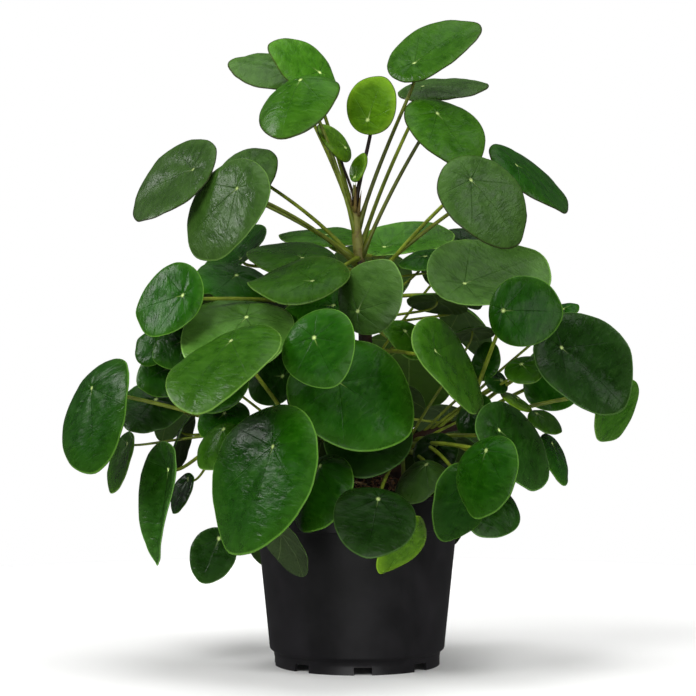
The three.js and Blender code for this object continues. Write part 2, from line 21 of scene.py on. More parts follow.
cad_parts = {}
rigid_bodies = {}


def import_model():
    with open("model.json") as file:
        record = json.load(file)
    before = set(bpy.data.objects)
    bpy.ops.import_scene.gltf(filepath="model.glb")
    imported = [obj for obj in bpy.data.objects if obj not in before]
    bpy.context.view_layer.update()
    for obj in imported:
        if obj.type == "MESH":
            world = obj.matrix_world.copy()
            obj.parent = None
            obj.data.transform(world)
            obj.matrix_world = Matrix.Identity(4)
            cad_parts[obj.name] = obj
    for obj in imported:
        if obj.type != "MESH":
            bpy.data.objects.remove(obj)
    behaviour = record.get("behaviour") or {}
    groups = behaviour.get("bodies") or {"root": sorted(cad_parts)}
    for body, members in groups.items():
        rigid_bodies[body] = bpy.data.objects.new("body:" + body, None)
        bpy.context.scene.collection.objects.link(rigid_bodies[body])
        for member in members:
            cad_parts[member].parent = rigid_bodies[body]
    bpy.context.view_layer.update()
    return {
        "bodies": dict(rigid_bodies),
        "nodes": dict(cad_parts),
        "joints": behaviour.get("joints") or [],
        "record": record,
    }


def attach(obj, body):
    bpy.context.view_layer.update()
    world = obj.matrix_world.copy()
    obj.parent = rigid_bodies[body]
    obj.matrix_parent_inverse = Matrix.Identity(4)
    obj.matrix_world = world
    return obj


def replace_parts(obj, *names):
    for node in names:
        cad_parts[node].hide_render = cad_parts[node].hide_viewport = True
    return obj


MM = 0.001
LOG = logging.getLogger("money_plant")

# The plant is sighted from this distance in front of the pot's axis, a little left of it
SIGHT_DISTANCE = 1620.0
SIGHT_X = -6.6
SIGHT_Z = 240.0

# Blade form, shared with the solids
# The spot lies this share of the blade's size in from its near rim
SPOT = 0.26
# The far end is drawn out by this share, over this turn of the rim to each side of it, in radians
TIP_POINT = 0.03
TIP_TURN = 0.35
# The blade is a little narrower than it is long, and by this share narrower still towards its far end
WIDTH_SHARE = 0.98
EGG_SHARE = 0.05
# A blade that leans less than this, in radians, is taken to lie flat to the viewer
FLAT_LEAN = 0.35
# A rim stands forward or back by this share of the blade's size at most
MOST_DISH = 0.14
BLADE_THICK = 1.2
# Gaps between a blade's solid and its stalk's
CLEAR = 0.3
SEAT_SPARE = 0.1

# Stalk form, shared with the solids
STALK_ROOT_RADIUS = 1.75
STALK_TIP_RADIUS = 1.25
YOUNG_SLIM = 0.7
# A stalk rises by this share of its reach, and bends this share of the way out
CLIMB = 0.06
BEND_SHARE = 0.4
# The neck of a stalk that comes down to its blade points down by its climb over this
CLIMB_TURN = 16.0
# How far before its end a stalk turns to its blade, which is never more than this share of its reach
NECK = 9.0
NECK_SHARE = 0.25
# Steps in which a stem's curve is measured
CURVE_STEPS = 400

# The blades as they are seen: thinner than the solids, with a polar mesh round the stalk's spot
BLADE_LOOK_THICK = 0.75
BLADE_SIDES = 56
BLADE_RINGS = 15
SMALL_SIDES = 40
SMALL_RINGS = 10
# Main veins that run out from the spot
MAIN_VEINS = 7
# Each blade falls away towards its rim by this share of its size, and from its midrib by this many
# millimetres. The seats are how much of each fall is given back, so that the blade stays by its solid.
DOME = 0.045
DOME_SEAT = 0.7
KEEL = 1.6
KEEL_SEAT = 0.4
KEEL_ROUND = 0.06
# The last millimetres before the rim roll down by this much
ROLL = 1.0
# The two edges of the rim, where the faces turn by more than this in radians, are rounded by this much
RIM_CORNER = 1.0
RIM_ROUND = 0.3
# The blade's own map is in centimetres
MAP_UNIT = 10.0

# Kinds of node that the finishes use most. A ramp's inputs are the value, the range it comes from and the
# range it goes to, and a colour mix takes its share as input 0 and its two colours as inputs 6 and 7.
MATH = "ShaderNodeMath"
MIX = "ShaderNodeMix"
RAMP = "ShaderNodeMapRange"
NOISE = "ShaderNodeTexNoise"
BUMP = "ShaderNodeBump"


class Age(Enum):
    """How old a leaf looks, which sets its greens, its gloss and how crinkled it is."""

    YOUNG = "young"
    FRESH = "fresh"
    MATURE = "mature"
    OLD = "old"
    DEEP = "deep"
    # Painted shade: leaves deep inside the plant, whose darker greens stand for the shade they lie in
    DARK = "dark"


class Gives(Enum):
    """What a lamp adds to the picture."""

    TONE = "the diffuse light"
    SHEEN = "the gloss"


class Seen(NamedTuple):
    """A leaf as it is sighted against the upright plane through the pot's axis.

    The stalk's foot has its place as a share of the stem's length. The spot where the stalk joins the
    blade and the middle of the outline are [right, up], and the depth is how far behind the plane the
    spot lies. The long and short measures and the slant are the outline's. A short measure below zero
    shows the underside. The curl bends the blade's ends back and its sides forward, the wave lifts its
    rim three times round, and the climb is how far a stalk that passes over the pot's rim rises first.
    The tone makes the leaf lighter than its finish, or darker where it is below zero: partly its own green
    and partly painted light and shade, for how much light falls on it.
    """

    name: str
    stem: str
    place: float
    spot: tuple[float, float]
    middle: tuple[float, float]
    depth: float
    long: float
    short: float
    slant: float
    curl: float
    wave: float
    climb: float
    age: Age
    tone: float


class Far(NamedTuple):
    """A leaf on the far side, placed by its bearing round the pot's axis.

    The spot lies out from the axis at a height, and the blade's face looks outwards, turned up by the
    look. Its tip hangs straight down but for the turn, and the dish is how far its rim stands forward.
    The other values are as in a sighted leaf.
    """

    name: str
    stem: str
    place: float
    bearing: float
    out: float
    height: float
    size: float
    look: float
    turn: float
    dish: float
    curl: float
    climb: float
    age: Age
    tone: float


LEAVES: tuple[Seen, ...] = (
    Seen("leaf_top_1", "main", 0.87, (43, 434), (55, 448), 8, 74, 34, 26, 3, 1, 6, Age.FRESH, -0.1),
    Seen("leaf_top_2", "main", 0.81, (48, 417), (62, 418.5), 50, 65, 15, 5, 1, 0, 8, Age.MATURE, 0.0),
    Seen("leaf_top_3", "main", 0.79, (57, 398), (65, 388), -12, 67, 40, -35, 3, 1, 6, Age.FRESH, 0.1),
    Seen("leaf_top_4", "main", 0.69, (81, 350), (93, 337), -64, 77, 54, -48, 3, 1, 4, Age.MATURE, -0.1),
    Seen("leaf_top_5", "main", 0.72, (114, 360), (127, 353), 8, 75, 21, -40, 2, 1, 4, Age.DEEP, -0.1),
    Seen("leaf_top_6", "main", 0.88, (-47, 429), (-62, 431), 60, 62, 26, -12, 2, 1, 8, Age.MATURE, 0.2),
    Seen("leaf_top_7", "main", 0.87, (-29, 428), (-37, 433), 34, 62, 30, -42, 2, 1, 8, Age.FRESH, 0.6),
    Seen("leaf_top_8", "main", 0.85, (-40, 422), (-43, 406.5), -16, 66, 34, 28, 2, 1, 12, Age.FRESH, 0.1),
    Seen("leaf_top_9", "main", 0.94, (9, 395), (10.5, 406), -20, 43, 37, 70, 2, 1, 0, Age.YOUNG, 0.2),
    Seen("leaf_left_1", "main", 0.79, (-117, 357), (-135, 352), -6, 80, 35, 45, 3, 1, 4, Age.MATURE, -0.3),
    Seen("leaf_left_2", "main", 0.77, (-85, 344), (-96, 330.5), -46, 81, 50, 60, 3, 1, 8, Age.MATURE, -0.2),
    Seen("leaf_left_3", "main", 0.78, (-78, 357), (-84, 351), 36, 62, 36, 45, 2, 1, 6, Age.MATURE, -0.1),
    Seen("leaf_left_4", "main", 0.76, (-83, 292), (-90, 301), 62, 58, 20, 38, 2, 1, 0, Age.DEEP, 0.0),
    Seen("leaf_left_5", "main", 0.73, (-40, 292), (-48, 296), -14, 68, 24, -3, 2, 1, 0, Age.FRESH, 0.0),
    Seen("leaf_left_6", "main", 0.8, (-32, 275), (-43, 280.5), -80, 77, 31, 9, 3, 2, 0, Age.FRESH, -0.4),
    Seen("leaf_left_7", "main", 0.66, (-88, 280), (-92, 277), 20, 56, 32, -5, 2, 1, 0, Age.DEEP, 0.5),
    Seen("leaf_left_8", "main", 0.62, (-125, 266.5), (-138, 264), -50, 61, 41, 57, 3, 1, 10, Age.DEEP, 0.2),
    Seen("leaf_left_9", "main", 0.56, (-80, 249), (-88, 240), -45, 85, 54, 12, 3, 2, 0, Age.MATURE, 0.8),
    Seen("leaf_left_10", "left", 0.5, (-90, 231.5), (-98, 218), -107, 93, 42, 30, 3, 2, 0, Age.FRESH, -0.2),
    Seen("leaf_left_11", "left", 0.8, (-190, 199), (-190.5, 181.5), -34, 87, 42, 69, 3, 1, 0, Age.DEEP, -0.2),
    Seen("leaf_left_12", "left", 0.66, (-146, 190), (-149, 187), 8, 51, 35, 12, 2, 1, 0, Age.DARK, 0.3),
    Seen("leaf_left_13", "left", 0.95, (-134, 140.5), (-151, 118), -30, 88, 34, 86, 3, 1, 0, Age.DARK, 1.2),
    Seen("leaf_left_14", "main", 0.78, (-22, 309), (-28, 311), 50, 60, 13, 0, 2, 1, 0, Age.FRESH, 0.5),
    Seen(
        "leaf_front_1", "left", 0.52, (-57.5, 156), (-70.5, 134.5), -134, 116, 72, 68, 4, 2, 0, Age.DEEP, -0.1
    ),
    Seen("leaf_front_2", "left", 0.5, (-24.5, 142), (-26, 124), -92, 60, 42, 62, 3, 1, 0, Age.DEEP, 0.3),
    Seen("leaf_front_3", "main", 0.42, (-14, 202), (-3.5, 195), -98, 96, 78, -20, 4, 2, 0, Age.DEEP, 0.0),
    Seen("leaf_front_4", "main", 0.62, (-30, 236), (-27.5, 230), -126, 60, 52, 55, 3, 1, 0, Age.DEEP, 0.1),
    Seen("leaf_front_5", "main", 0.62, (-17, 258), (-26, 258), -36, 52, 30, 5, 2, 1, 0, Age.DEEP, 0.7),
    Seen("leaf_front_6", "main", 0.66, (2, 255.5), (10, 267), -76, 57, 47, 65, 3, 1, 0, Age.MATURE, -0.1),
    Seen("leaf_front_7", "main", 0.42, (-53, 208), (-62, 208), -38, 44, 36, 60, 2, 1, 0, Age.DARK, 0.8),
    Seen("leaf_front_8", "right", 0.46, (15, 117.5), (12.5, 105), -126, 62, 50, -12, 3, 1, 7, Age.DARK, -0.3),
    Seen("leaf_front_9", "right", 0.5, (38, 96), (33, 85), -100, 50, 24, 230, 2, 1, 24, Age.YOUNG, 0.1),
    Seen(
        "leaf_front_10", "right", 0.5, (51.5, 142.5), (46.5, 131.5), -82, 42, 26, 28,
        2, 1, 8, Age.MATURE, -0.4,
    ),
    Seen("leaf_front_11", "main", 0.3, (10, 172), (8, 162.5), -50, 66, 49, 5, 2, 1, 0, Age.DARK, 0.5),
    Seen("leaf_right_1", "main", 0.8, (20, 300), (35, 313), 43, 67, 25, 5, 2, 1, 0, Age.FRESH, 1.0),
    Seen("leaf_right_2", "main", 0.68, (78, 273), (97, 286), -48, 92, 51, -5, 3, 2, 0, Age.MATURE, 0.1),
    Seen("leaf_right_3", "right", 0.9, (107, 256), (121.5, 256), -94, 54, 52, 45, 3, 1, 0, Age.DEEP, -0.3),
    Seen("leaf_right_4", "right", 0.84, (147, 228), (167, 219), -52, 83, 63, -50, 4, 2, 0, Age.DARK, -0.1),
    Seen("leaf_right_5", "right", 0.92, (184, 194), (189, 183), -26, 52, 27, 242, 2, 1, 0, Age.FRESH, 0.1),
    Seen("leaf_right_6", "main", 0.54, (55, 226), (69, 216), -90, 81, 32, -59, 3, 1, 0, Age.FRESH, -0.1),
    Seen("leaf_right_7", "main", 0.46, (34, 240), (36, 237), -28, 38, 22, -30, 2, 1, 0, Age.FRESH, 0.4),
    Seen("leaf_right_8", "right", 0.6, (101, 168), (115.5, 158.5), -80, 73, 40, -57, 3, 1, 0, Age.DARK, 0.5),
    Seen("leaf_right_9", "right", 0.56, (96, 154), (94.5, 136.5), -138, 62, 43, 70, 3, 1, 0, Age.DEEP, -0.2),
    Seen("leaf_right_10", "right", 0.56, (78, 131), (74, 117), -98, 58, 39, 255, 3, 1, 14, Age.DEEP, -0.3),
    Seen("leaf_right_11", "right", 0.62, (105, 119), (98.5, 111), -66, 44, 36, -40, 2, 1, 0, Age.DARK, 0.6),
    Seen("leaf_right_12", "right", 0.88, (146, 210), (142, 206), 6, 48, 40, -60, 2, 1, 0, Age.DEEP, 0.0),
)
YOUNG_LEAVES: tuple[Seen, ...] = (
    Seen("young_1", "main", 0.95, (-10, 374), (-15.5, 379.5), 6, 34, 14, -51, 1, 0, 0, Age.YOUNG, 0.2),
    Seen("young_2", "main", 0.96, (0, 353), (0, 361), -8, 22, 11, 68, 1, 0, 0, Age.YOUNG, 0.3),
    Seen("young_3", "main", 0.62, (50, 294), (50, 294), -16, 38, 15, 8, 1, 0, 0, Age.DEEP, -0.15),
    Seen("young_4", "main", 0.62, (58, 262), (58, 262), -30, 44, -14, -8, 1, 0, 0, Age.DEEP, -0.15),
    Seen("young_5", "main", 0.48, (76, 305), (78, 306), 48, 40, 24, -5, 1, 0, 0, Age.DEEP, -0.15),
    Seen("young_6", "main", 0.48, (-122, 250), (-119, 254), -17, 38, -24, 40, 1, 0, 0, Age.DEEP, -0.15),
    Seen("young_7", "main", 0.44, (-143, 228), (-149, 231), -14, 33, 23, 50, 1, 0, 0, Age.DEEP, -0.15),
    Seen("young_8", "main", 0.4, (-134, 214), (-139, 212), -2, 44, 36, 20, 1, 0, 0, Age.DEEP, -0.15),
    Seen("young_9", "main", 0.42, (-124, 234), (-128, 232), -26, 44, 34, 30, 1, 0, 0, Age.DEEP, -0.15),
    Seen("young_10", "left", 0.5, (-98, 206), (-100, 202), -58, 44, 36, 30, 1, 0, 0, Age.DEEP, -0.15),
    Seen("young_11", "left", 0.86, (-165, 159), (-173.5, 147), -12, 46, 15, 73, 1, 0, 0, Age.FRESH, -0.2),
    Seen("young_12", "left", 0.92, (-126, 167), (-127, 161), 2, 42, -10, 72, 1, 0, 0, Age.DARK, 0.0),
    Seen("young_13", "left", 0.98, (-121, 133), (-128.5, 124.5), 4, 31, 13, 67, 1, 0, 0, Age.DEEP, -0.2),
    Seen("young_14", "left", 0.7, (-96, 169), (-101, 158), -84, 40, 26, 47, 1, 0, 0, Age.FRESH, -0.2),
    Seen("young_15", "left", 0.6, (-96, 180), (-98, 178), -60, 40, 26, 20, 1, 0, 0, Age.DEEP, -0.15),
    Seen("young_16", "left", 0.5, (-57, 93), (-53, 87), -92, 54, -22, -52, 1, 0, 28, Age.OLD, -0.2),
    Seen("young_17", "left", 0.56, (-99, 90), (-106, 79), -86, 41, 34, 70, 1, 0, 22, Age.DARK, -0.1),
    Seen("young_18", "right", 0.76, (150, 256), (152, 257), -18, 20, 11, 15, 1, 0, 0, Age.DEEP, 0.1),
    Seen("young_19", "right", 0.94, (130, 180), (137, 176), -30, 27, 14, -28, 1, 0, 0, Age.FRESH, -0.2),
    Seen("young_20", "right", 0.97, (140, 159), (145, 149), -24, 40, 14, -67, 1, 0, 0, Age.DEEP, 0.0),
    Seen("young_21", "right", 0.9, (116, 191), (116, 190.5), -22, 27, 6, -30, 1, 0, 0, Age.YOUNG, 0.1),
    Seen("young_22", "right", 0.5, (58, 158), (57, 153), -46, 34, 30, 20, 1, 0, 0, Age.DARK, -0.3),
    Seen("young_23", "right", 0.64, (94, 215), (93, 220), -30, 30, 20, 70, 1, 0, 0, Age.DEEP, -0.15),
    Seen("young_24", "right", 0.72, (120, 216), (122, 214), -44, 30, 20, 10, 1, 0, 0, Age.FRESH, 0.0),
    Seen("young_25", "right", 0.66, (104, 205), (102, 205), -30, 20, 14, -50, 1, 0, 0, Age.DEEP, -0.15),
    Seen("young_26", "right", 0.5, (84, 240), (84, 240), -20, 34, -10, 8, 1, 0, 0, Age.DEEP, -0.15),
    Seen("young_27", "right", 0.5, (84, 184), (85, 180), -36, 34, 24, 60, 1, 0, 0, Age.DEEP, -0.15),
)
BACK_LEAVES: tuple[Far, ...] = (
    Far("leaf_back_1", "main", 0.8, 78, 68, 298, 64, 46, 20, -3, 3, 0, Age.FRESH, 0.6),
    Far("leaf_back_2", "main", 0.72, 122, 98, 266, 76, 38, -15, -3, 3, 0, Age.MATURE, -0.65),
    Far("leaf_back_3", "main", 0.62, 66, 96, 228, 78, 36, 12, -3, 3, 0, Age.DEEP, 0.9),
    Far("leaf_back_4", "back", 0.94, 98, 128, 210, 80, 32, -8, -3, 4, 0, Age.OLD, 0.0),
    Far("leaf_back_5", "back", 0.7, 126, 128, 150, 72, 24, 14, -3, 3, 0, Age.FRESH, -0.1),
)
YOUNG_BACK_LEAVES: tuple[Far, ...] = (
    Far("young_28", "main", 0.72, 138, 112, 276, 54, 44, 10, -2, 2, 0, Age.FRESH, 0.0),
    Far("young_29", "main", 0.72, 44, 92, 290, 56, 48, -12, -2, 2, 0, Age.DEEP, 0.0),
    Far("young_30", "main", 0.6, 28, 86, 257, 56, 40, 8, -2, 2, 0, Age.FRESH, 0.0),
    Far("young_31", "left", 0.8, 150, 150, 196, 56, 30, 12, -2, 2, 0, Age.FRESH, 0.0),
    Far("young_32", "main", 0.52, 140, 118, 228, 58, 34, -14, -2, 2, 0, Age.DEEP, -0.15),
    Far("young_33", "back", 0.62, 56, 126, 172, 68, 28, -10, -2, 3, 0, Age.MATURE, -0.05),
    Far("young_34", "right", 0.7, 30, 102, 152, 50, 24, 8, -2, 2, 0, Age.DEEP, -0.15),
    Far("young_35", "back", 0.5, 87, 130, 130, 64, 18, 6, -2, 2, 6, Age.DEEP, 0.0),
    Far("young_36", "back", 0.5, 124, 118, 94, 48, 6, -12, -2, 2, 20, Age.FRESH, -0.1),
    Far("young_37", "back", 0.5, 58, 116, 112, 56, 12, 10, -2, 2, 18, Age.DARK, 0.0),
    Far("young_38", "back", 0.8, 74, 92, 196, 52, 40, -6, -2, 2, 0, Age.DEEP, -0.15),
    Far("young_39", "main", 0.42, 122, 48, 160, 42, 8, 10, -1, 2, 0, Age.DARK, 0.2),
    Far("young_40", "main", 0.42, 46, 56, 160, 40, 8, -10, -1, 2, 0, Age.DARK, 0.2),
)

# Stems as [x, y, z, radius] from the root end in the soil to the growing tip
STEM_POINTS: dict[str, tuple[tuple[float, float, float, float], ...]] = {
    "main": (
        (1, 2, 82, 6.2),
        (1, 2, 100, 6.2),
        (1, 2, 128, 6.1),
        (1, 2, 142, 6.0),
        (4, 0, 165, 5.6),
        (6, -2, 215, 5.2),
        (5, 0, 262, 4.8),
        (1, 0, 300, 4.4),
        (-1, 0, 326, 3.4),
        (-2, 0, 348, 1.0),
    ),
    "left": (
        (-27, -8, 86, 4.6),
        (-27, -8, 100, 4.6),
        (-27, -8, 124, 4.5),
        (-27, -8, 138, 4.4),
        (-38, -10, 156, 4.0),
        (-66, -12, 165, 3.6),
        (-96, -14, 168, 2.2),
    ),
    "right": (
        (27, -6, 86, 4.6),
        (27, -6, 100, 4.6),
        (27, -6, 124, 4.5),
        (27, -6, 138, 4.4),
        (36, -8, 158, 4.2),
        (62, -10, 171, 3.7),
        (92, -12, 176, 2.2),
    ),
    "back": (
        (3, 34, 86, 4.8),
        (3, 34, 100, 4.8),
        (3, 34, 124, 4.7),
        (3, 34, 137, 4.6),
        (5, 42, 160, 4.3),
        (2, 52, 195, 3.8),
        (0, 58, 232, 2.0),
    ),
}

# The leaves whose rim line is painted shade rather than a painted highlight, and the shade's colour
SHADED_RIMS = ("leaf_left_1", "leaf_left_3", "young_1", "young_2", *(f"leaf_top_{i}" for i in range(1, 10)))
RIM_SHADE = 0x2E2E14

# Stalks that are still dark brown, and how far they are (0 is all brown, 1 is all green)
RIPENESS: dict[str, float] = {
    "leaf_top_9": 0.0,
    "young_1": 0.0,
    "young_2": 0.0,
    "leaf_top_1": 0.55,
    "leaf_top_3": 0.5,
    "leaf_top_5": 0.6,
    "leaf_left_2": 0.6,
}

# Blades whose midrib doesn't run to the far end of the outline, and how far it is turned, in degrees
MIDRIB_TURNS: dict[str, float] = {
    "leaf_front_1": 24.0,
    "leaf_left_1": -8.0,
    "leaf_left_2": -12.0,
    "leaf_left_6": 40.0,
    "leaf_left_10": -15.0,
}

# Blades folded more, or the other way, along the midrib, in millimetres at the rim
KEELS: dict[str, float] = {
    "leaf_front_1": 3.0,
    "leaf_front_2": 4.5,
    "leaf_front_10": 2.5,
    "leaf_left_13": 1.0,
    "leaf_top_8": 2.0,
    "leaf_right_6": -1.0,
    "young_17": 2.5,
}

# Blades that taper to a drawn-out tip, and by what share
TAPERS: dict[str, float] = {"leaf_left_13": 0.6}


def linear(hex_colour: int) -> tuple[float, float, float, float]:
    """Turn an sRGB hex colour into the linear colour that a socket takes."""
    channels = [((hex_colour >> shift) & 255) / 255 for shift in (16, 8, 0)]
    return (*[c / 12.92 if c <= 0.04045 else ((c + 0.055) / 1.055) ** 2.4 for c in channels], 1.0)


def fill(tree: bpy.types.NodeTree, node: bpy.types.Node, inputs: dict[Any, Any]) -> None:
    """Fill in a node's inputs.

    Args:
        tree: The material's node tree.
        node: The node.
        inputs: A value, an output socket or a whole node for each input, by its name or number. A whole
            node stands for the first output that it has in use.
    """
    for key, value in inputs.items():
        if isinstance(value, bpy.types.Node):
            value = next(output for output in value.outputs if output.enabled)
        if isinstance(value, bpy.types.NodeSocket):
            tree.links.new(value, node.inputs[key])
        else:
            node.inputs[key].default_value = value


def add_node(
    tree: bpy.types.NodeTree, kind: str, inputs: dict[Any, Any] | None = None, **settings: Any
) -> bpy.types.Node:
    """Add a node to a material.

    Args:
        tree: The material's node tree.
        kind: The node's type name.
        inputs: What fills its inputs.
        **settings: Properties of the node itself.

    Returns:
        The new node.
    """
    node = tree.nodes.new(kind)
    for name, value in settings.items():
        setattr(node, name, value)
    fill(tree, node, inputs or {})
    return node


def new_material(name: str) -> tuple[bpy.types.Material, bpy.types.NodeTree, bpy.types.Node]:
    """Make a material with an empty tree but for the shader and its output.

    Args:
        name: The real material's name.

    Returns:
        The material, its node tree and the Principled shader.
    """
    material = bpy.data.materials.new(name)
    material.use_nodes = True
    tree = material.node_tree
    tree.nodes.clear()
    shader = add_node(tree, "ShaderNodeBsdfPrincipled")
    add_node(tree, "ShaderNodeOutputMaterial", {"Surface": shader})
    return material, tree, shader


def finished(
    name: str, mesh: bpy.types.Mesh, materials: Iterable[bpy.types.Material]
) -> bpy.types.Object:
    """Put a mesh in the scene as a piece that rides with the plant.

    Args:
        name: The piece's name.
        mesh: Its mesh, already in place.
        materials: Its materials in the order of the faces' material numbers.

    Returns:
        The new object.
    """
    for material in materials:
        mesh.materials.append(material)
    mesh.shade_smooth()
    piece = bpy.data.objects.new(name, mesh)
    bpy.context.scene.collection.objects.link(piece)
    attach(piece, "root")
    return piece


def mesh_from(bm: bmesh.types.BMesh, name: str) -> bpy.types.Mesh:
    """Turn a bmesh into a mesh and free it.

    Args:
        bm: The bmesh.
        name: The name of the mesh.

    Returns:
        The new mesh.
    """
    mesh = bpy.data.meshes.new(name)
    bm.to_mesh(mesh)
    bm.free()
    return mesh


def spun(points: Iterable[tuple[float, float]], steps: int, gap: float) -> bmesh.types.BMesh:
    """Spin a line of points all the way round the upright axis.

    Args:
        points: The points of the line, as [radius, z].
        steps: The number of steps in the full turn.
        gap: Points that are closer than this become one.

    Returns:
        The spun surface, with all its faces turned the same way.
    """
    bm = bmesh.new()
    strip = [bm.verts.new((radius, 0.0, z)) for radius, z in points]
    edges = [bm.edges.new(pair) for pair in zip(strip, strip[1:])]
    bmesh.ops.spin(
        bm,
        geom=strip + edges,
        cent=(0, 0, 0),
        axis=(0, 0, 1),
        angle=2 * math.pi,
        steps=steps,
        use_merge=True,
    )
    bmesh.ops.remove_doubles(bm, verts=bm.verts, dist=gap)
    bmesh.ops.recalc_face_normals(bm, faces=bm.faces)
    return bm


@dataclass(frozen=True)
class LeafFinish:
    """Living leaf: waxy cuticle over green flesh, grown, with a pale spot where the stalk joins.

    The upper side's green has lighter patches. The vein shade is painted shade: the deeper green of the sunk
    veins and of the hollows beside the crests. The margin and highlight green is the lighter one near the
    rim, and it also paints the highlights on the crests and along the rim's edge. The crinkle is how high
    the skin's fine relief stands, and the pucker is how far the flesh swells between the veins, both in
    millimetres.
    """

    name: str
    upper: int
    patch: int
    under: int
    vein: int
    margin_and_highlight: int
    vein_shade: int
    roughness: float
    crinkle_mm: float
    pucker_mm: float
    shine: float = 0.26
    spot: int = 0xC8E08A
    rim_glow: float = 0.12

    def marks(self, tree: bpy.types.NodeTree) -> dict[str, Any]:
        """Work out a point's place on the blade and in its patterns.

        Args:
            tree: The material's node tree.

        Returns:
            The node or socket of each mark, by name. Places on the blade are in centimetres from the spot.
        """
        place = add_node(tree, "ShaderNodeUVMap", uv_map="blade")
        solid = add_node(tree, "ShaderNodeTexCoord").outputs["Object"]
        parts = add_node(tree, "ShaderNodeSeparateXYZ", {0: place})
        marks = {
            key: add_node(tree, "ShaderNodeAttribute", attribute_name=key).outputs["Fac"]
            for key in ("share", "upper", "tone", "grain", "flushed")
        }
        marks["along"], marks["across"] = parts.outputs["X"], parts.outputs["Y"]
        marks["out"] = add_node(tree, "ShaderNodeVectorMath", {0: place}, operation="LENGTH")
        # The cloudy greens of a real blade, in patches of about 12 mm
        marks["cloud"] = add_node(
            tree, NOISE, {"Vector": solid, "Scale": 85.0, "Detail": 3.0, "Roughness": 0.55}
        )
        # Feathered side veins run across the blade, about 3 mm apart
        squeezed = add_node(tree, MATH, {0: marks["across"], 1: 0.4}, operation="MULTIPLY")
        lined_up = add_node(
            tree, "ShaderNodeCombineXYZ", {0: marks["along"], 1: squeezed, 2: marks["grain"]}
        )
        feathered = {"Vector": lined_up, "Scale": 3.0, "Detail": 3.0, "Roughness": 0.5, "Distortion": 0.4}
        marks["feather"] = add_node(tree, NOISE, feathered)
        # Fine pebbling about 2 mm across between the feathered veins
        marks["pebble"] = add_node(tree, NOISE, {"Vector": solid, "Scale": 420.0, "Detail": 1.0})
        # The main veins run out from the spot at even angles
        bearing = add_node(tree, MATH, {0: marks["across"], 1: marks["along"]}, operation="ARCTAN2")
        marks["angle"] = add_node(tree, MATH, {0: bearing, 1: MAIN_VEINS / 2}, operation="MULTIPLY")
        wave = add_node(tree, MATH, {0: marks["angle"]}, operation="SINE")
        ray = add_node(tree, MATH, {0: wave}, operation="ABSOLUTE")
        off_vein = add_node(tree, MATH, {0: ray, 1: marks["out"]}, operation="MULTIPLY")
        marks["vein"] = add_node(tree, RAMP, {0: off_vein, 1: 0.03, 2: 0.16, 3: 1.0, 4: 0.0})
        return marks

    def green(self, tree: bpy.types.NodeTree, marks: dict[str, Any]) -> bpy.types.Node:
        """Colour the upper side.

        Args:
            tree: The material's node tree.
            marks: The point's marks.

        Returns:
            The node that gives the colour.
        """
        vein, out, share = marks["vein"], marks["out"], marks["share"]
        mottle = add_node(tree, RAMP, {0: marks["cloud"], 1: 0.36, 2: 0.66})
        greens = {0: mottle, 6: linear(self.upper), 7: linear(self.patch)}
        green = add_node(tree, MIX, greens, data_type="RGBA")
        ridge = add_node(tree, RAMP, {0: marks["feather"], 1: 0.42, 2: 0.7, 3: 0.0, 4: 0.6})
        green = add_node(tree, MIX, {0: ridge, 6: green, 7: linear(self.patch)}, data_type="RGBA")
        # Painted highlight: paler green on the crests between the side veins; painted shade in the hollows
        # beside them
        crest_highlight = add_node(tree, RAMP, {0: marks["feather"], 1: 0.54, 2: 0.76, 3: 0.0, 4: 0.1})
        green = add_node(tree, MIX, {0: crest_highlight, 6: green, 7: linear(self.margin_and_highlight)}, data_type="RGBA")
        hollow_shade = add_node(tree, RAMP, {0: marks["feather"], 1: 0.3, 2: 0.46, 3: 0.3, 4: 0.0})
        green = add_node(tree, MIX, {0: hollow_shade, 6: green, 7: linear(self.vein_shade)}, data_type="RGBA")
        # Painted shade in the main veins, which are sunk in the flesh
        depth = add_node(tree, RAMP, {0: share, 1: 0.1, 2: 0.8, 3: 0.4, 4: 0.12})
        vein_shade = add_node(tree, MATH, {0: vein, 1: depth}, operation="MULTIPLY")
        green = add_node(tree, MIX, {0: vein_shade, 6: green, 7: linear(self.vein_shade)}, data_type="RGBA")
        # Pale tissue fills the spot and the first millimetres of the veins, most of all the midrib
        near = add_node(tree, RAMP, {0: out, 1: 0.06, 2: 0.24, 3: 0.5, 4: 0.0})
        pale = add_node(tree, MATH, {0: vein, 1: near}, operation="MULTIPLY")
        sideways = add_node(tree, MATH, {0: marks["across"]}, operation="ABSOLUTE")
        line = add_node(tree, RAMP, {0: sideways, 1: 0.01, 2: 0.06, 3: 1.0, 4: 0.0})
        fading = add_node(tree, RAMP, {0: marks["along"], 1: 0.1, 2: 0.75, 3: 0.7, 4: 0.0})
        begun = add_node(tree, RAMP, {0: marks["along"], 1: -0.05, 2: 0.02})
        line = add_node(tree, MATH, {0: line, 1: fading}, operation="MULTIPLY")
        line = add_node(tree, MATH, {0: line, 1: begun}, operation="MULTIPLY")
        pale = add_node(tree, MATH, {0: pale, 1: line}, operation="MAXIMUM")
        green = add_node(tree, MIX, {0: pale, 6: green, 7: linear(self.vein)}, data_type="RGBA")
        dot = add_node(tree, RAMP, {0: out, 1: 0.05, 2: 0.18, 3: 1.0, 4: 0.0})
        green = add_node(tree, MIX, {0: dot, 6: green, 7: linear(self.spot)}, data_type="RGBA")
        # Towards the rim the flesh thins and turns lighter
        thin = add_node(tree, RAMP, {0: share, 1: 0.72, 2: 1.0, 3: 0.0, 4: self.rim_glow})
        green = add_node(tree, MIX, {0: thin, 6: green, 7: linear(self.margin_and_highlight)}, data_type="RGBA")
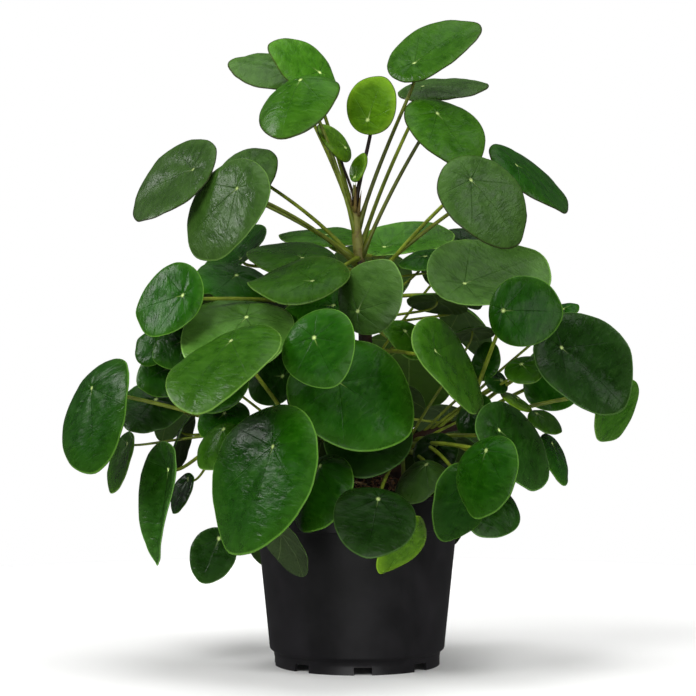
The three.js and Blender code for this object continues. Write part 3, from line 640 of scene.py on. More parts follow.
        # A thin line round the rim: painted highlight where the edge catches the light on the lower leaves,
        # painted shade on those of the crown
        rim = add_node(tree, RAMP, {0: share, 1: 0.975, 2: 0.99, 3: 0.0, 4: 0.8})
        ends = {0: marks["flushed"], 6: linear(self.margin_and_highlight), 7: linear(RIM_SHADE)}
        edge = add_node(tree, MIX, ends, data_type="RGBA")
        return add_node(tree, MIX, {0: rim, 6: green, 7: edge}, data_type="RGBA")

    def relief(self, tree: bpy.types.NodeTree, marks: dict[str, Any]) -> bpy.types.Node:
        """Raise the skin's fine relief.

        Args:
            tree: The material's node tree.
            marks: The point's marks.

        Returns:
            The node that gives the bumped normal.
        """
        ridges = add_node(tree, MATH, {0: marks["feather"], 1: 1.1}, operation="MULTIPLY")
        height = add_node(tree, MATH, {0: marks["pebble"], 1: 0.18, 2: ridges}, operation="MULTIPLY_ADD")
        sunk = add_node(tree, RAMP, {0: marks["share"], 1: 0.1, 2: 0.8, 3: -0.45, 4: -0.12})
        height = add_node(tree, MATH, {0: marks["vein"], 1: sunk, 2: height}, operation="MULTIPLY_ADD")
        # Shallow scallops near the rim, where the flesh is drawn between the ends of the side veins
        strayed = add_node(tree, MATH, {0: marks["feather"], 1: 5.0}, operation="MULTIPLY")
        phase = add_node(tree, MATH, {0: marks["angle"], 1: 6.0, 2: strayed}, operation="MULTIPLY_ADD")
        scallop = add_node(tree, MATH, {0: phase}, operation="SINE")
        outer = add_node(tree, RAMP, {0: marks["share"], 1: 0.7, 2: 0.95, 3: 0.0, 4: 0.2})
        height = add_node(tree, MATH, {0: scallop, 1: outer, 2: height}, operation="MULTIPLY_ADD")
        return add_node(tree, BUMP, {"Height": height, "Distance": self.crinkle_mm * MM})

    def material(self) -> bpy.types.Material:
        """Build the leaf material from the blade's own map and attributes.

        Returns:
            The material.
        """
        material, tree, shader = new_material(self.name)
        marks = self.marks(tree)
        # The underside is paler and duller, with raised light veins
        raised = add_node(tree, MATH, {0: marks["vein"], 1: 0.3}, operation="MULTIPLY")
        pale_greens = {0: raised, 6: linear(self.under), 7: linear(self.vein)}
        under = add_node(tree, MIX, pale_greens, data_type="RGBA")
        green = self.green(tree, marks)
        both = add_node(tree, MIX, {0: marks["upper"], 6: under, 7: green}, data_type="RGBA")
        # The tone is partly the leaf's own green and partly painted light and shade
        light = add_node(tree, MATH, {0: marks["tone"], 1: 1.0}, operation="ADD")
        toned = add_node(tree, "ShaderNodeHueSaturation", {"Value": light, "Color": both})
        # Wax wears unevenly, so the gloss comes and goes, and the underside has less of it
        least, most = self.roughness - 0.1, self.roughness + 0.05
        worn = add_node(tree, RAMP, {0: marks["cloud"], 1: 0.3, 2: 0.7, 3: least, 4: most})
        dull = add_node(tree, RAMP, {0: marks["upper"], 1: 0.0, 2: 1.0, 3: 0.2, 4: 0.0})
        rough = add_node(tree, MATH, {0: worn, 1: dull}, operation="ADD")
        fill(tree, shader, {"Base Color": toned, "Roughness": rough, "Normal": self.relief(tree, marks)})
        fill(tree, shader, {"IOR": 1.45, "Specular IOR Level": self.shine})
        return material


LEAF_FINISHES: dict[Age, LeafFinish] = {
    Age.YOUNG: LeafFinish(
        name="young_leaf_wax",
        upper=0x3C640A,
        patch=0x4E7A10,
        under=0x55702A,
        vein=0xB4CF78,
        margin_and_highlight=0x8CB82A,
        vein_shade=0x2E5206,
        roughness=0.3,
        crinkle_mm=0.4,
        pucker_mm=0.3,
        shine=0.3,
        rim_glow=0.4,
    ),
    Age.FRESH: LeafFinish(
        name="fresh_leaf_wax",
        upper=0x265206,
        patch=0x34640A,
        under=0x46662A,
        vein=0xA8C470,
        margin_and_highlight=0x74A040,
        vein_shade=0x1C4005,
        roughness=0.33,
        crinkle_mm=0.55,
        pucker_mm=0.5,
    ),
    Age.MATURE: LeafFinish(
        name="mature_leaf_wax",
        upper=0x31521B,
        patch=0x3D6122,
        under=0x46622E,
        vein=0xA2BE70,
        margin_and_highlight=0x6E9844,
        vein_shade=0x1E3C09,
        roughness=0.36,
        crinkle_mm=0.7,
        pucker_mm=0.7,
        shine=0.4,
    ),
    Age.OLD: LeafFinish(
        name="old_crinkled_leaf_wax",
        upper=0x1F400A,
        patch=0x2B4F10,
        under=0x40582A,
        vein=0x96B466,
        margin_and_highlight=0x6E9640,
        vein_shade=0x132C05,
        roughness=0.34,
        crinkle_mm=0.75,
        pucker_mm=0.9,
        shine=0.4,
    ),
    Age.DEEP: LeafFinish(
        name="deep_green_leaf_wax",
        upper=0x133F02,
        patch=0x1C4E04,
        under=0x365218,
        vein=0x92B256,
        margin_and_highlight=0x5E9030,
        vein_shade=0x102D02,
        roughness=0.32,
        crinkle_mm=0.5,
        pucker_mm=0.6,
    ),
    # Painted shade: darker greens for the leaves deep inside the plant
    Age.DARK: LeafFinish(
        name="dark_leaf_wax",
        upper=0x0E2B02,
        patch=0x163806,
        under=0x22340F,
        vein=0x86A45A,
        margin_and_highlight=0x4E7434,
        vein_shade=0x0B1D02,
        roughness=0.33,
        crinkle_mm=0.6,
        pucker_mm=0.7,
    ),
}


@dataclass(frozen=True)
class StalkFinish:
    """Fleshy leaf stalk: smooth green skin, flushed brown while it is young."""

    green: int = 0x8A9C2C
    olive: int = 0x6A7A1C
    brown: int = 0x2B190C

    def material(self) -> bpy.types.Material:
        """Build the stalk's skin: mottled green, and brown where the stalk isn't ripe.

        Returns:
            The material.
        """
        material, tree, shader = new_material("fleshy_stalk_skin")
        solid = add_node(tree, "ShaderNodeTexCoord").outputs["Object"]
        # Skin mottled in patches of about 8 mm
        mottle = add_node(tree, NOISE, {"Vector": solid, "Scale": 120.0, "Detail": 3.0})
        share = add_node(tree, RAMP, {0: mottle, 1: 0.35, 2: 0.65})
        skins = {0: share, 6: linear(self.green), 7: linear(self.olive)}
        skin = add_node(tree, MIX, skins, data_type="RGBA")
        ripe = add_node(tree, "ShaderNodeAttribute", attribute_name="ripe").outputs["Fac"]
        flushed = add_node(tree, MIX, {0: ripe, 6: linear(self.brown), 7: skin}, data_type="RGBA")
        bump = add_node(tree, BUMP, {"Height": mottle, "Distance": 0.2 * MM, "Strength": 0.6})
        fill(tree, shader, {"Base Color": flushed, "Normal": bump, "Roughness": 0.42, "IOR": 1.45})
        return material


@dataclass(frozen=True)
class TrunkFinish:
    """Old stem skin: corky and brown below, green near the growing tip, ringed by old leaf scars."""

    tip: int = 0x87883E
    bark: int = 0x3B2118
    scar: int = 0x644426

    def material(self) -> bpy.types.Material:
        """Build the trunk's skin, whose colour changes at the height where the bark begins.

        Returns:
            The material.
        """
        material, tree, shader = new_material("corky_stem_bark")
        solid = add_node(tree, "ShaderNodeTexCoord").outputs["Object"]
        # Corky grain about 6 mm across
        grain = add_node(
            tree, NOISE, {"Vector": solid, "Scale": 160.0, "Detail": 4.0, "Roughness": 0.6}
        )
        # Bark gives way to green skin over the 13 mm above 0.289 m, and the grain, worth about 15 mm of
        # height in the middle of its range, makes the edge between them wander
        parts = add_node(tree, "ShaderNodeSeparateXYZ", {0: solid})
        wander = add_node(tree, MATH, {0: grain, 1: 0.03}, operation="MULTIPLY")
        height = add_node(tree, MATH, {0: parts.outputs["Z"], 1: wander}, operation="ADD")
        ripe = add_node(tree, RAMP, {0: height, 1: 0.304, 2: 0.317})
        # Leaf scars ring the stem about every 7 mm
        squeezed = add_node(tree, "ShaderNodeMapping", {"Vector": solid, "Scale": (20.0, 20.0, 140.0)})
        rings = add_node(tree, NOISE, {"Vector": squeezed, "Scale": 1.0, "Detail": 2.0})
        scar = add_node(tree, RAMP, {0: rings, 1: 0.52, 2: 0.62, 3: 0.0, 4: 0.6})
        browns = {0: scar, 6: linear(self.bark), 7: linear(self.scar)}
        bark = add_node(tree, MIX, browns, data_type="RGBA")
        # The green skin has brown blotches as wide as the grain
        blotch = add_node(tree, RAMP, {0: grain, 1: 0.53, 2: 0.66, 3: 0.0, 4: 0.6})
        greens = {0: blotch, 6: linear(self.tip), 7: linear(self.scar)}
        skin = add_node(tree, MIX, greens, data_type="RGBA")
        whole = add_node(tree, MIX, {0: ripe, 6: bark, 7: skin}, data_type="RGBA")
        relief = add_node(tree, MATH, {0: grain, 1: rings}, operation="ADD")
        bump = add_node(tree, BUMP, {"Height": relief, "Distance": 0.8 * MM, "Strength": 0.8})
        fill(tree, shader, {"Base Color": whole, "Normal": bump, "Roughness": 0.6})
        return material


@dataclass(frozen=True)
class PotFinish:
    """Polypropylene, injection moulded: near black with a satin skin and a faint mould grain."""

    body: int = 0x161518
    worn: int = 0x242226

    def material(self) -> bpy.types.Material:
        """Build the pot's plastic.

        Returns:
            The material.
        """
        material, tree, shader = new_material("moulded_black_polypropylene")
        solid = add_node(tree, "ShaderNodeTexCoord").outputs["Object"]
        # Faint flow marks about 30 mm wide, a little lighter and duller than the skin between them
        flow = add_node(
            tree, NOISE, {"Vector": solid, "Scale": 34.0, "Detail": 5.0, "Roughness": 0.6}
        )
        share = add_node(tree, RAMP, {0: flow, 1: 0.42, 2: 0.72})
        blacks = {0: share, 6: linear(self.body), 7: linear(self.worn)}
        colour = add_node(tree, MIX, blacks, data_type="RGBA")
        rough = add_node(tree, RAMP, {0: flow, 3: 0.37, 4: 0.46})
        # Mould grain 0.5 mm across
        grain = add_node(tree, NOISE, {"Vector": solid, "Scale": 1900.0, "Detail": 1.0})
        bump = add_node(tree, BUMP, {"Height": grain, "Distance": 0.06 * MM, "Strength": 0.6})
        fill(tree, shader, {"Base Color": colour, "Roughness": rough, "Normal": bump})
        fill(tree, shader, {"Specular IOR Level": 0.72})
        return material


@dataclass(frozen=True)
class SoilFinish:
    """Peat potting soil: dry, dark and crumbly, with lighter crumbs among the dark."""

    dark: int = 0x402A1E
    light: int = 0xA87456

    def material(self) -> bpy.types.Material:
        """Build the peat, light and dark by the crumb.

        Returns:
            The material.
        """
        material, tree, shader = new_material("crumbly_peat")
        solid = add_node(tree, "ShaderNodeTexCoord").outputs["Object"]
        # Crumbs 2 to 3 mm across
        crumb = add_node(tree, "ShaderNodeTexVoronoi", {"Vector": solid, "Scale": 420.0})
        shade = add_node(tree, "ShaderNodeSeparateXYZ", {0: crumb.outputs["Color"]})
        share = add_node(tree, RAMP, {0: shade, 1: 0.45, 2: 1.0})
        browns = {0: share, 6: linear(self.dark), 7: linear(self.light)}
        colour = add_node(tree, MIX, browns, data_type="RGBA")
        domed = {"Height": crumb.outputs["Distance"], "Distance": 1.8 * MM, "Strength": 0.9}
        bump = add_node(tree, BUMP, domed, invert=True)
        fill(tree, shader, {"Base Color": colour, "Normal": bump, "Roughness": 0.92})
        return material


@dataclass(frozen=True)
class BarkChipFinish:
    """Pine bark chip: dry, flaky and light brown."""

    flake: int = 0xF0CCA4
    crack: int = 0xB4845C

    def material(self) -> bpy.types.Material:
        """Build the chip's bark, streaked along its length.

        Returns:
            The material.
        """
        material, tree, shader = new_material("dry_pine_bark")
        solid = add_node(tree, "ShaderNodeTexCoord").outputs["Object"]
        # Flakes about 6 mm long, 2 mm wide and 1.4 mm thick
        drawn = add_node(tree, "ShaderNodeMapping", {"Vector": solid, "Scale": (160.0, 500.0, 700.0)})
        flake = add_node(tree, NOISE, {"Vector": drawn, "Scale": 1.0, "Detail": 4.0})
        share = add_node(tree, RAMP, {0: flake, 1: 0.36, 2: 0.58})
        browns = {0: share, 6: linear(self.crack), 7: linear(self.flake)}
        colour = add_node(tree, MIX, browns, data_type="RGBA")
        bump = add_node(tree, BUMP, {"Height": flake, "Distance": 0.9 * MM, "Strength": 0.9})
        fill(tree, shader, {"Base Color": colour, "Normal": bump, "Roughness": 0.85})
        return material


@dataclass(frozen=True)
class ScaleFinish:
    """Dry bud scales round the growing tip: thin, papery and brown."""

    paper: int = 0x8C7C36
    base: int = 0x5A3E1C

    def material(self) -> bpy.types.Material:
        """Build the papery brown of the bud scales.

        Returns:
            The material.
        """
        material, tree, shader = new_material("papery_bud_scale")
        solid = add_node(tree, "ShaderNodeTexCoord").outputs["Object"]
        # Flecks 2 to 3 mm across
        fleck = add_node(tree, NOISE, {"Vector": solid, "Scale": 420.0})
        browns = {0: fleck, 6: linear(self.base), 7: linear(self.paper)}
        colour = add_node(tree, MIX, browns, data_type="RGBA")
        fill(tree, shader, {"Base Color": colour, "Roughness": 0.7})
        return material


@dataclass(frozen=True)
class FloorFinish:
    """White board, painted matt."""

    white: int = 0xF4F4F3

    def material(self) -> bpy.types.Material:
        """Build the pale floor.

        Returns:
            The material.
        """
        material, tree, shader = new_material("matt_white_board")
        solid = add_node(tree, "ShaderNodeTexCoord").outputs["Object"]
        # The paint is a little duller in patches about half a metre wide
        cloud = add_node(tree, NOISE, {"Vector": solid, "Scale": 2.0})
        rough = add_node(tree, RAMP, {0: cloud, 3: 0.85, 4: 0.95})
        fill(tree, shader, {"Base Color": linear(self.white), "Roughness": rough})
        return material


@dataclass(frozen=True)
class Pose:
    """Where a blade is and how it is turned, in millimetres from the middle of the pot's base.

    The tip is the direction from the spot to the blade's far end, the face is the one that its upper
    side looks in, and the reach is how far the middle of the outline lies from the spot.
    """

    spot: Vector
    tip: Vector
    face: Vector
    size: float
    reach: float
    dish: float

    @cached_property
    def side(self) -> Vector:
        """The direction across the blade."""
        return self.face.cross(self.tip)


def seen_pose(row: Seen) -> Pose:
    """Work out a blade's pose from its outline as it is sighted.

    Args:
        row: The leaf's row.

    Returns:
        The pose whose outline falls where the row says.
    """
    grow = (SIGHT_DISTANCE + row.depth) / SIGHT_DISTANCE
    spot = Vector(
        (
            SIGHT_X + (row.spot[0] - SIGHT_X) * grow,
            row.depth,
            SIGHT_Z + (row.spot[1] - SIGHT_Z) * grow,
        )
    )
    size = row.long * grow
    # A round blade that leans away is sighted as an ellipse
    lean = math.acos(row.short / row.long)
    slant = math.radians(row.slant)
    back = (spot - Vector((SIGHT_X, -SIGHT_DISTANCE, SIGHT_Z))).normalized()
    flat_along = Vector((math.cos(slant), 0.0, math.sin(slant)))
    flat_left = Vector((-flat_along.z, 0.0, flat_along.x))
    along = (flat_along - back * flat_along.dot(back)).normalized()
    left = along.cross(back)
    face = left * math.sin(lean) - back * math.cos(lean)
    level = left * math.cos(lean) + back * math.sin(lean)
    shift = Vector((row.middle[0] - row.spot[0], 0.0, row.middle[1] - row.spot[1])) * grow
    shift_along = shift.dot(flat_along)
    shift_left = shift.dot(flat_left)
    # The middle lies off the spot in the blade's plane, but only so far: a dish of the rim does the rest
    most = (0.5 - SPOT) * size
    room = math.sqrt(max(most * most - shift_along * shift_along, 0.0))
    flat_shift = shift_left / math.cos(lean)
    if abs(flat_shift) <= room or lean < FLAT_LEAN:
        sideways = flat_shift
    else:
        sideways = math.copysign(room, flat_shift)
    rest = shift_left - sideways * math.cos(lean)
    raw_dish = 0.0 if lean < FLAT_LEAN else rest / math.sin(lean)
    dish = min(max(raw_dish, -MOST_DISH * size), MOST_DISH * size)
    tip = along * shift_along + level * sideways
    reach = tip.length
    # A spot in the middle gives no way to the tip, so the tip hangs along the slant
    if reach < 0.5:
        tip = along * (-1.0 if along.z > 0 else 1.0)
    return Pose(spot, tip.normalized(), face, size, reach, dish)


def far_pose(row: Far) -> Pose:
    """Work out the pose of a blade on the far side, with its face up and outwards.

    Args:
        row: The leaf's row.

    Returns:
        Its pose.
    """
    bearing = math.radians(row.bearing)
    look = math.radians(row.look)
    radial = Vector((math.cos(bearing), math.sin(bearing), 0.0))
    spot = radial * row.out + Vector((0.0, 0.0, row.height))
    face = radial * math.cos(look) + Vector((0.0, 0.0, math.sin(look)))
    down = (Vector((0.0, 0.0, -1.0)) + face * face.z).normalized()
    tip = Matrix.Rotation(math.radians(row.turn), 3, face) @ down
    return Pose(spot, tip, face, row.size, (0.5 - SPOT) * row.size, row.dish)


@dataclass(frozen=True)
class Leaf:
    """One leaf: its blade's pose and bend, its stalk's stem and place, and its age."""

    name: str
    stem: str
    place: float
    pose: Pose
    curl: float
    wave: float
    climb: float
    age: Age
    tone: float
    young: bool

    @cached_property
    def seed(self) -> float:
        """A number of the leaf's own, the same in every run, that shifts its patterns."""
        return sum(ord(letter) * (i + 3) for i, letter in enumerate(self.name)) * 0.37

    @cached_property
    def midrib(self) -> float:
        """How far the midrib is turned off the way to the blade's far end, in radians."""
        return math.radians(MIDRIB_TURNS.get(self.name, 0.0))

    def outline(self, angle: float) -> tuple[float, float]:
        """Give a place on the rim.

        Args:
            angle: Where it is in the outline's sweep, from the tip.

        Returns:
            How far it lies along and across the blade, in millimetres from the spot.
        """
        pose = self.pose
        point = math.exp(-((angle / TIP_TURN) ** 2))
        along = pose.reach + pose.size * (0.5 * math.cos(angle) + TIP_POINT * point)
        taper = TAPERS.get(self.name, 0.0)
        narrow = (1 - EGG_SHARE * math.cos(angle)) * (1 - taper * (1 + math.cos(angle)) / 2)
        across = WIDTH_SHARE * (pose.size / 2) * math.sin(angle) * narrow
        # A living rim isn't a true curve: it swells and draws in by up to 1% of the blade
        ripple = 1 + 0.006 * math.sin(3 * angle + self.seed) + 0.004 * math.sin(5 * angle + 2 * self.seed)
        return along * ripple, across * ripple

    def rise(self, share: float, angle: float, along: float, across: float) -> float:
        """Give how far the blade stands towards its face, in millimetres.

        Args:
            share: How far out the point is, from the spot to the rim.
            angle: Its angle in the outline's sweep.
            along: Its place along the blade.
            across: Its place across the blade.

        Returns:
            The bend of the whole blade, with the veins sunk and the flesh puckered between them.
        """
        pose = self.pose
        puckered = LEAF_FINISHES[self.age].pucker_mm
        bend = -self.curl * math.cos(2 * angle) + self.wave * math.sin(3 * angle + pose.size)
        whole = pose.dish * share**1.5 + bend * share * share
        # The flesh swells between the main veins, in broad lumps and in fine ones drawn out across
        ray = abs(math.sin(MAIN_VEINS / 2 * math.atan2(across, along))) if share > 0 else 0.0
        quilt = 0.8 * puckered * (ray * ray - 0.5) * share * (1 - share) * 4
        swell = noise.noise(Vector((along / 11, across / 11, self.seed)))
        fine = noise.noise(Vector((along / 4.5, across / 8, self.seed + 9)))
        pucker = puckered * (1.1 * swell + 0.4 * fine) * min(share * 3, 1)
        # The blade is domed and rolled down at its rim, and folded softly along the midrib
        dome = DOME * pose.size * (DOME_SEAT - share**3.2) + ROLL * (0.5 - share**9)
        off_midrib = across * math.cos(self.midrib) - along * math.sin(self.midrib)
        fold = math.hypot(2 * off_midrib / pose.size, KEEL_ROUND) - KEEL_ROUND
        keel = KEELS.get(self.name, KEEL) * (KEEL_SEAT - fold)
        # The rim ripples nine times round, and the spot is a dimple
        rim = 0.25 * puckered * math.sin(9 * angle + self.seed) * share**8
        dimple = -0.6 * max(0.0, 1 - share * 7)
        return whole + quilt + pucker + dome + keel + rim + dimple

    def sheet(self) -> bmesh.types.BMesh:
        """Spin the upper side round the spot and bend it to its form.

        Returns:
            The open sheet in millimetres, with the blade's own map and the attributes its finish reads.
        """
        sides, rings = (SMALL_SIDES, SMALL_RINGS) if self.young else (BLADE_SIDES, BLADE_RINGS)
        bm = spun([(i / rings, 0.0) for i in range(rings + 1)], sides, 1e-5)
        if sum(face.normal.z for face in bm.faces) < 0:
            bmesh.ops.reverse_faces(bm, faces=bm.faces)
        values = {"upper": 1.0, "tone": self.tone, "grain": self.seed, "flushed": float(self.name in SHADED_RIMS)}
        layers = {key: bm.verts.layers.float.new(key) for key in ("share", *values)}
        for vert in bm.verts:
            share = min(vert.co.length, 1.0)
            angle = math.atan2(vert.co.y, vert.co.x) if share > 1e-6 else 0.0
            along, across = self.outline(angle)
            along, across = along * share, across * share
            vert[layers["share"]] = share
            for key, value in values.items():
                vert[layers[key]] = value
            vert.co = (along, across, self.rise(share, angle, along, across))
        blade_map = bm.loops.layers.uv.new("blade")
        turned = Matrix.Rotation(-self.midrib, 2)
        for face in bm.faces:
            for loop in face.loops:
                loop[blade_map].uv = turned @ loop.vert.co.xy / MAP_UNIT
        return bm

    def blade(self) -> bpy.types.Mesh:
        """Build the blade: its sheet copied below as the underside and closed with a round rim.

        Returns:
            The mesh in metres, in its place.
        """
        bm = self.sheet()
        share = bm.verts.layers.float["share"]
        upper = bm.verts.layers.float["upper"]
        copied = bmesh.ops.duplicate(bm, geom=bm.verts[:] + bm.edges[:] + bm.faces[:])["geom"]
        bmesh.ops.reverse_faces(bm, faces=[item for item in copied if isinstance(item, bmesh.types.BMFace)])
        for vert in (item for item in copied if isinstance(item, bmesh.types.BMVert)):
            vert[upper] = 0.0
            vert.co.z -= BLADE_LOOK_THICK
        bmesh.ops.bridge_loops(bm, edges=[edge for edge in bm.edges if edge.is_boundary])
        corners = [
            edge
            for edge in bm.edges
            if len(edge.link_faces) == 2
            and abs(edge.calc_face_angle_signed(0.0)) > RIM_CORNER
            and all(vert[share] > 0.99 for vert in edge.verts)
        ]
        bmesh.ops.bevel(
            bm,
            geom=corners,
            offset=RIM_ROUND,
            offset_type="OFFSET",
            affect="EDGES",
            segments=2,
            profile=0.5,
            material=-1,
            clamp_overlap=True,
        )
        pose = self.pose
        turned = Matrix((pose.tip, pose.side, pose.face)).transposed().to_4x4()
        place = Matrix.Translation(pose.spot + pose.face * (BLADE_LOOK_THICK / 2)) @ turned
        bmesh.ops.transform(bm, matrix=Matrix.Scale(MM, 4) @ place, verts=bm.verts)
        return mesh_from(bm, self.name)


def seen_leaf(row: Seen, young: bool) -> Leaf:
    """Make a leaf from its row as it is seen.

    Args:
        row: The leaf's row.
        young: Whether it is one of the small leaves.

    Returns:
        The leaf.
    """
    return Leaf(
        row.name,
        row.stem,
        row.place,
        seen_pose(row),
        row.curl,
        row.wave,
        row.climb,
        row.age,
        row.tone,
        young,
    )


def far_leaf(row: Far, young: bool) -> Leaf:
    """Make a leaf from its row on the far side.

    Args:
        row: The leaf's row.
        young: Whether it is one of the small leaves.

    Returns:
        The leaf.
    """
    pose = far_pose(row)
    return Leaf(row.name, row.stem, row.place, pose, row.curl, 1.0, row.climb, row.age, row.tone, young)


@dataclass(frozen=True)
class Curve:
    """A stem's centre line through its points, with the same spacing as in the solids."""

    points: tuple[tuple[float, float, float, float], ...]

    def at(self, t: float) -> Vector:
        """Give a point of a centripetal curve through the points.

        Args:
            t: How far along, from 0 to 1, where every gap between two points counts the same.

        Returns:
            The point, in millimetres.
        """
        stops = [Vector(point[:3]) for point in self.points]
        last = len(stops) - 1
        p = last * t
        i = min(int(p), last - 1)
        w = p - i
        before = stops[i - 1] if i > 0 else stops[0] * 2 - stops[1]
        after = stops[i + 2] if i + 2 <= last else stops[last] * 2 - stops[last - 1]
        here, there = stops[i], stops[i + 1]
        # A gap counts by the root of its length, so that the curve doesn't swing out at short gaps
        gap = [math.sqrt((q - r).length) for q, r in ((before, here), (here, there), (there, after))]
        leave = ((here - before) / gap[0] - (there - before) / (gap[0] + gap[1]) + (there - here) / gap[1])
        arrive = ((there - here) / gap[1] - (after - here) / (gap[1] + gap[2]) + (after - there) / gap[2])
        leave, arrive = leave * gap[1], arrive * gap[1]
        return (
            here
            + leave * w
            + (3 * (there - here) - 2 * leave - arrive) * w**2
            + (2 * (here - there) + leave + arrive) * w**3
        )

    @cached_property
    def lengths(self) -> list[float]:
        """Measure the length run along the curve.

        Returns:
            The length at each of the curve's steps, in millimetres.
        """
        run = [0.0]
        last = self.at(0.0)
        for i in range(1, CURVE_STEPS + 1):
            point = self.at(i / CURVE_STEPS)
            run.append(run[-1] + (point - last).length)
            last = point
        return run

    def by_length(self, share: float) -> Vector:
        """Give a point of the curve by its length.

        Args:
            share: How far along, as a share of the whole length.

        Returns:
            The point, in millimetres.
        """
        target = share * self.lengths[-1]
        i = next((k for k in range(CURVE_STEPS) if self.lengths[k + 1] >= target), CURVE_STEPS - 1)
        step = self.lengths[i + 1] - self.lengths[i]
        return self.at((i + (target - self.lengths[i]) / step) / CURVE_STEPS)

    def radius(self, share: float) -> float:
        """Give the stem's radius.

        Args:
            share: How far along, from 0 to 1, where every gap between two points counts the same.

        Returns:
            The radius, in millimetres.
        """
        place = share * (len(self.points) - 1)
        i = min(int(place), len(self.points) - 2)
        return self.points[i][3] + (self.points[i + 1][3] - self.points[i][3]) * (place - i)


@dataclass(frozen=True)
class Tube:
    """A round tube drawn out ring by ring along a line.

    Its layers are the attributes that every vertex gets, and its material is the number that its faces
    take.
    """

    sides: int
    layers: dict[str, float]
    material: int

    def mesh(self, line: list[Vector], radii: list[float]) -> bpy.types.Mesh:
        """Draw the tube out along a line.

        Args:
            line: The centres of the rings, in millimetres.
            radii: The radius of each ring.

        Returns:
            The closed tube in metres.
        """
        bm = bmesh.new()
        tangents = [
            (line[min(i + 1, len(line) - 1)] - line[max(i - 1, 0)]).normalized() for i in range(len(line))
        ]
        turn = tangents[0].to_track_quat("Z", "Y")
        frame = Matrix.Translation(line[0]) @ turn.to_matrix().to_4x4() @ Matrix.Scale(radii[0], 4)
        bmesh.ops.create_circle(bm, cap_ends=True, segments=self.sides, radius=1.0, matrix=frame)
        edges = bm.edges[:]
        for i in range(1, len(line)):
            turn = tangents[i - 1].rotation_difference(tangents[i]) @ turn
            following = Matrix.Translation(line[i]) @ turn.to_matrix().to_4x4() @ Matrix.Scale(radii[i], 4)
            drawn = bmesh.ops.extrude_edge_only(bm, edges=edges)["geom"]
            verts = [item for item in drawn if isinstance(item, bmesh.types.BMVert)]
            edges = [item for item in drawn if isinstance(item, bmesh.types.BMEdge)]
            edges = [edge for edge in edges if edge.is_boundary]
            bmesh.ops.transform(bm, matrix=following @ frame.inverted(), verts=verts)
            frame = following
        bmesh.ops.holes_fill(bm, edges=[edge for edge in bm.edges if edge.is_boundary], sides=0)
        bmesh.ops.recalc_face_normals(bm, faces=bm.faces)
        for name, value in self.layers.items():
            layer = bm.verts.layers.float.new(name)
            for vert in bm.verts:
                vert[layer] = value
        for face in bm.faces:
            face.material_index = self.material
        bmesh.ops.scale(bm, vec=(MM, MM, MM), verts=bm.verts)
        return mesh_from(bm, "tube")


def gathered(name: str, meshes: Iterable[bpy.types.Mesh]) -> bpy.types.Mesh:
    """Gather meshes into one and drop them.

    Args:
        name: The name of the gathered mesh.
        meshes: The meshes to put together.

    Returns:
        One mesh that holds them all.
    """
    bm = bmesh.new()
    for mesh in meshes:
        bm.from_mesh(mesh)
        bpy.data.meshes.remove(mesh)
    return mesh_from(bm, name)


